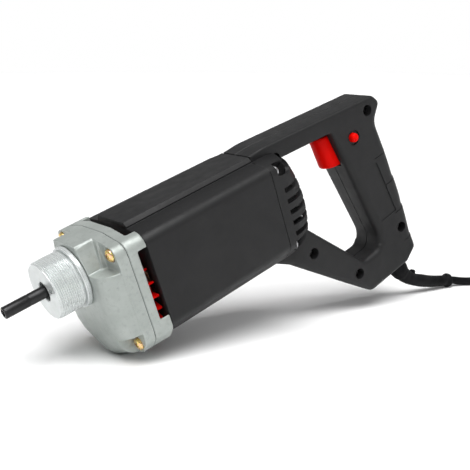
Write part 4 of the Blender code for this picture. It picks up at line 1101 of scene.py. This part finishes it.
def make_trigger(shade):
    """Trigger with a full, rounded front."""
    half = 8.6
    plan = rounded([(0.0, -half, 8.5), (0.0, half, 8.5), (19.0, half, 0), (19.0, -half, 0)])
    rings = []
    levels = ((-19.6, 1.0), (-19.3, 0.4), (-18.6, 0.0), (6.2, 0.0), (7.0, 0.4), (7.4, 1.2))
    fine = []
    for (z0, s0), (z1, s1) in zip(levels, levels[1:]):
        parts = 10 if z1 - z0 > 5 else 2
        fine += [(z0 + (z1 - z0) * i / parts, s0 + (s1 - s0) * i / parts) for i in range(parts)]
    fine.append(levels[-1])
    for z, shrink in fine:
        front = 245.6 - 0.152 * (z - 7.4)
        rings.append([(front + shrink + x * (1 - shrink / 19) if x < 10 else 262.6, y * (1 - shrink / 9), z)
                      for x, y in plan])
    trigger = loft("red_trigger", rings)
    trigger = union(trigger, box("stem", (262.0, -5.0, -12.0), (265.0, 5.0, 2.0)))
    return settle(trigger, "trigger", "red_plastic", shade, "trigger", smooth=40.0)


def make_lock_button(shade):
    x, z = LOCK_XZ
    dome = [(20.6 - 3.2 * (1 - cos(a)), 3.7 * sin(a)) for a in map(radians, range(0, 91, 9))]
    profile = [*dome, (13.7, 3.8), (13.7, 5.2), (12.9, 5.2), (12.9, 1.8), (12.3, 1.8), (12.3, 0.0)]
    button = turned("red_lock_button", profile, "Y", (x, 0, z), 40)
    return settle(button, "lock_button", "red_plastic", shade, "lock_button", smooth=35.0)


def make_boot(shade):
    """Rubber bend relief: swelling at the handle, a nub on its upper side, taper, and end ring."""
    route = smooth_route([(x, 0.0, z) for x, z in BOOT_PATH], 1.2)
    marks = [0.0]
    for p, q in zip(BOOT_PATH, BOOT_PATH[1:]):
        marks.append(marks[-1] + dist(p, q))
    radii = []
    run = 0.0
    for index, point in enumerate(route):
        run += (point - route[index - 1]).length if index else 0.0
        k = max(i for i, m in enumerate(marks) if m <= run + 1e-6)
        k = min(k, len(marks) - 2)
        t = min(1.0, (run - marks[k]) / (marks[k + 1] - marks[k]))
        radii.append(BOOT_RADII[k] + (BOOT_RADII[k + 1] - BOOT_RADII[k]) * eased(t))
    boot = tube("rubber_boot", [tuple(p) for p in route], radii, 8)
    boot = union(boot, tube("nub", [(317.4, 0.0, -153.2), (320.6, 0.0, -148.6), (321.2, 0.0, -147.7)],
                            [2.8, 2.6, 1.6]))
    return settle(boot, "tool", "rubber", shade, "cord_boot", smooth=50.0)


# --- fasteners
def pan_screw(name, seat, tip, shank_r, head_r, head_h, place, axis, flip, cross):
    """A pan-head screw with a domed head and a cross recess, its seat at the place given."""
    sign = -1 if flip else 1
    length = tip - seat
    dome = [(-head_h * cos(a) ** 0.7, head_r * sin(a)) for a in map(radians, range(0, 85, 12))]
    profile = [*dome, (-head_h * 0.15, head_r), (0.0, head_r), (0.0, shank_r), (length, shank_r),
               (length, 0.0)]
    way = -sign if axis == "Y" else sign
    screw = turned(name, [(way * h, r) for h, r in profile], axis, (0, 0, 0), 32)
    arm = cross * 0.2
    depth = head_h * 0.75
    for a, b in ((cross, arm), (arm, cross)):
        low, high = sorted((-sign * (head_h + 1), -sign * (head_h - depth)))
        corners = {"X": ((low, -a, -b), (high, a, b)), "Y": ((-a, low, -b), (a, high, b))}[axis]
        screw = cut(screw, box("cross", *corners))
    screw.data.transform(Matrix.Rotation(radians(25), 4, axis))
    screw.data.transform(Matrix.Translation(place))
    return screw


def make_screws(plated, steel):
    for number, (y, z) in enumerate(mirrored(CASE_SCREWS), 1):
        seat = FLANGE_FRONT + 0.4
        screw = pan_screw(f"plated_screw_{number}", seat, 84.0, 2.1, 4.6, 3.0, (seat, y, z), "X", False, 2.3)
        settle(screw, "tool", "passivated_zinc", plated, f"gear_case_screw_{number}", smooth=35.0)
    for number, (y, z) in enumerate(mirrored(HOUSING_SCREWS), 1):
        seat = 180.5
        screw = pan_screw(f"steel_housing_screw_{number}", 158.0, seat, 1.9, 4.0, 2.6,
                          (seat, y, z), "X", True, 2.0)
        settle(screw, "tool", "steel", steel, f"housing_screw_{number}", smooth=35.0)
    for number, (x, z) in enumerate(HANDLE_SCREWS, 1):
        seat = -8.8
        screw = pan_screw(f"steel_handle_screw_{number}", seat, 11.6, 1.95, 3.7, 2.4,
                          (x, seat, z), "Y", False, 1.9)
        settle(screw, "tool", "steel", steel, f"handle_screw_{number}", smooth=35.0)


# --- carried-over inner parts
def paint(shade, *names):
    """Give CAD nodes that keep their own shape a material."""
    for name in names:
        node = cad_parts[name]
        node.data.materials.clear()
        node.data.materials.append(shade)


def main():
    make_camera()
    make_studio()
    black_rubber = rubber("cord_rubber")
    steel = plain_metal("bright_steel", (0.55, 0.55, 0.56))
    make_cord(rubber("mains_cord_rubber"), rubber("plug_rubber", (0.02, 0.02, 0.021), 0.55), steel)

    cast = cast_metal("lacquered_casting")
    plastic = moulded_plastic("black_moulding", (0.011, 0.011, 0.0115), (0.034, 0.034, 0.036), 0.5, 0.28)
    red = moulded_plastic("red_moulding", (0.62, 0.0015, 0.0), (0.66, 0.004, 0.002), 0.45, 0.06)
    plated = plated_screw("yellow_passivated")
    make_cover(cast)
    make_plate(cast)
    make_gasket(rubber("gasket_board", (0.11, 0.12, 0.115), 0.7))
    make_spigot(turned_metal("turned_aluminium", (0.66, 0.69, 0.685), 0.25, 0.45))
    make_spindle(turned_metal("blackened_spindle", (0.035, 0.035, 0.036), 0.34))
    make_housing(plastic)
    make_fan(red)
    for side in (-1, 1):
        make_shell(side, plastic)
    make_trigger(red)
    make_lock_button(red)
    make_boot(black_rubber)
    make_screws(plated, steel)

    copper = banded("enamelled_copper", (0.62, 0.22, 0.09), (0.3, 0.09, 0.03), 0.3, 0.3,
                    Scale=0.9, Distortion=1.5, Detail=2.0)
    sheets = banded("laminations", (0.16, 0.16, 0.17), (0.3, 0.29, 0.28), 0.4, 0.15,
                    Scale=0.6, Distortion=0.0, bands_direction="X")
    paint(copper, "armature_winding_front", "armature_winding_rear", "field_coil_upper", "field_coil_lower")
    paint(turned_metal("commutator_copper", (0.75, 0.36, 0.2)), "commutator")
    paint(sheets, "armature_core", "stator_core")
    paint(turned_metal("ground_steel", (0.6, 0.6, 0.61)), "armature_shaft", "output_gear", "gear_circlip",
          "spindle_front_bearing", "spindle_rear_bearing", "armature_front_bearing", "armature_rear_bearing")
    paint(black_rubber, "spindle_seal")
    paint(plastic, "air_baffle", "switch_body", "cord_clamp")
    paint(moulded_plastic("brown_moulding", (0.16, 0.1, 0.06), (0.25, 0.18, 0.12)), "brush_holder_left",
          "brush_holder_right", "suppression_capacitor")
    paint(moulded_plastic("carbon_block", (0.02, 0.02, 0.02), (0.05, 0.05, 0.05), 0.6), "carbon_brush_left",
          "carbon_brush_right")
    paint(steel, "brush_spring_left", "brush_spring_right", "trigger_spring", "lock_spring", "clamp_screw_1",
          "clamp_screw_2")


main()
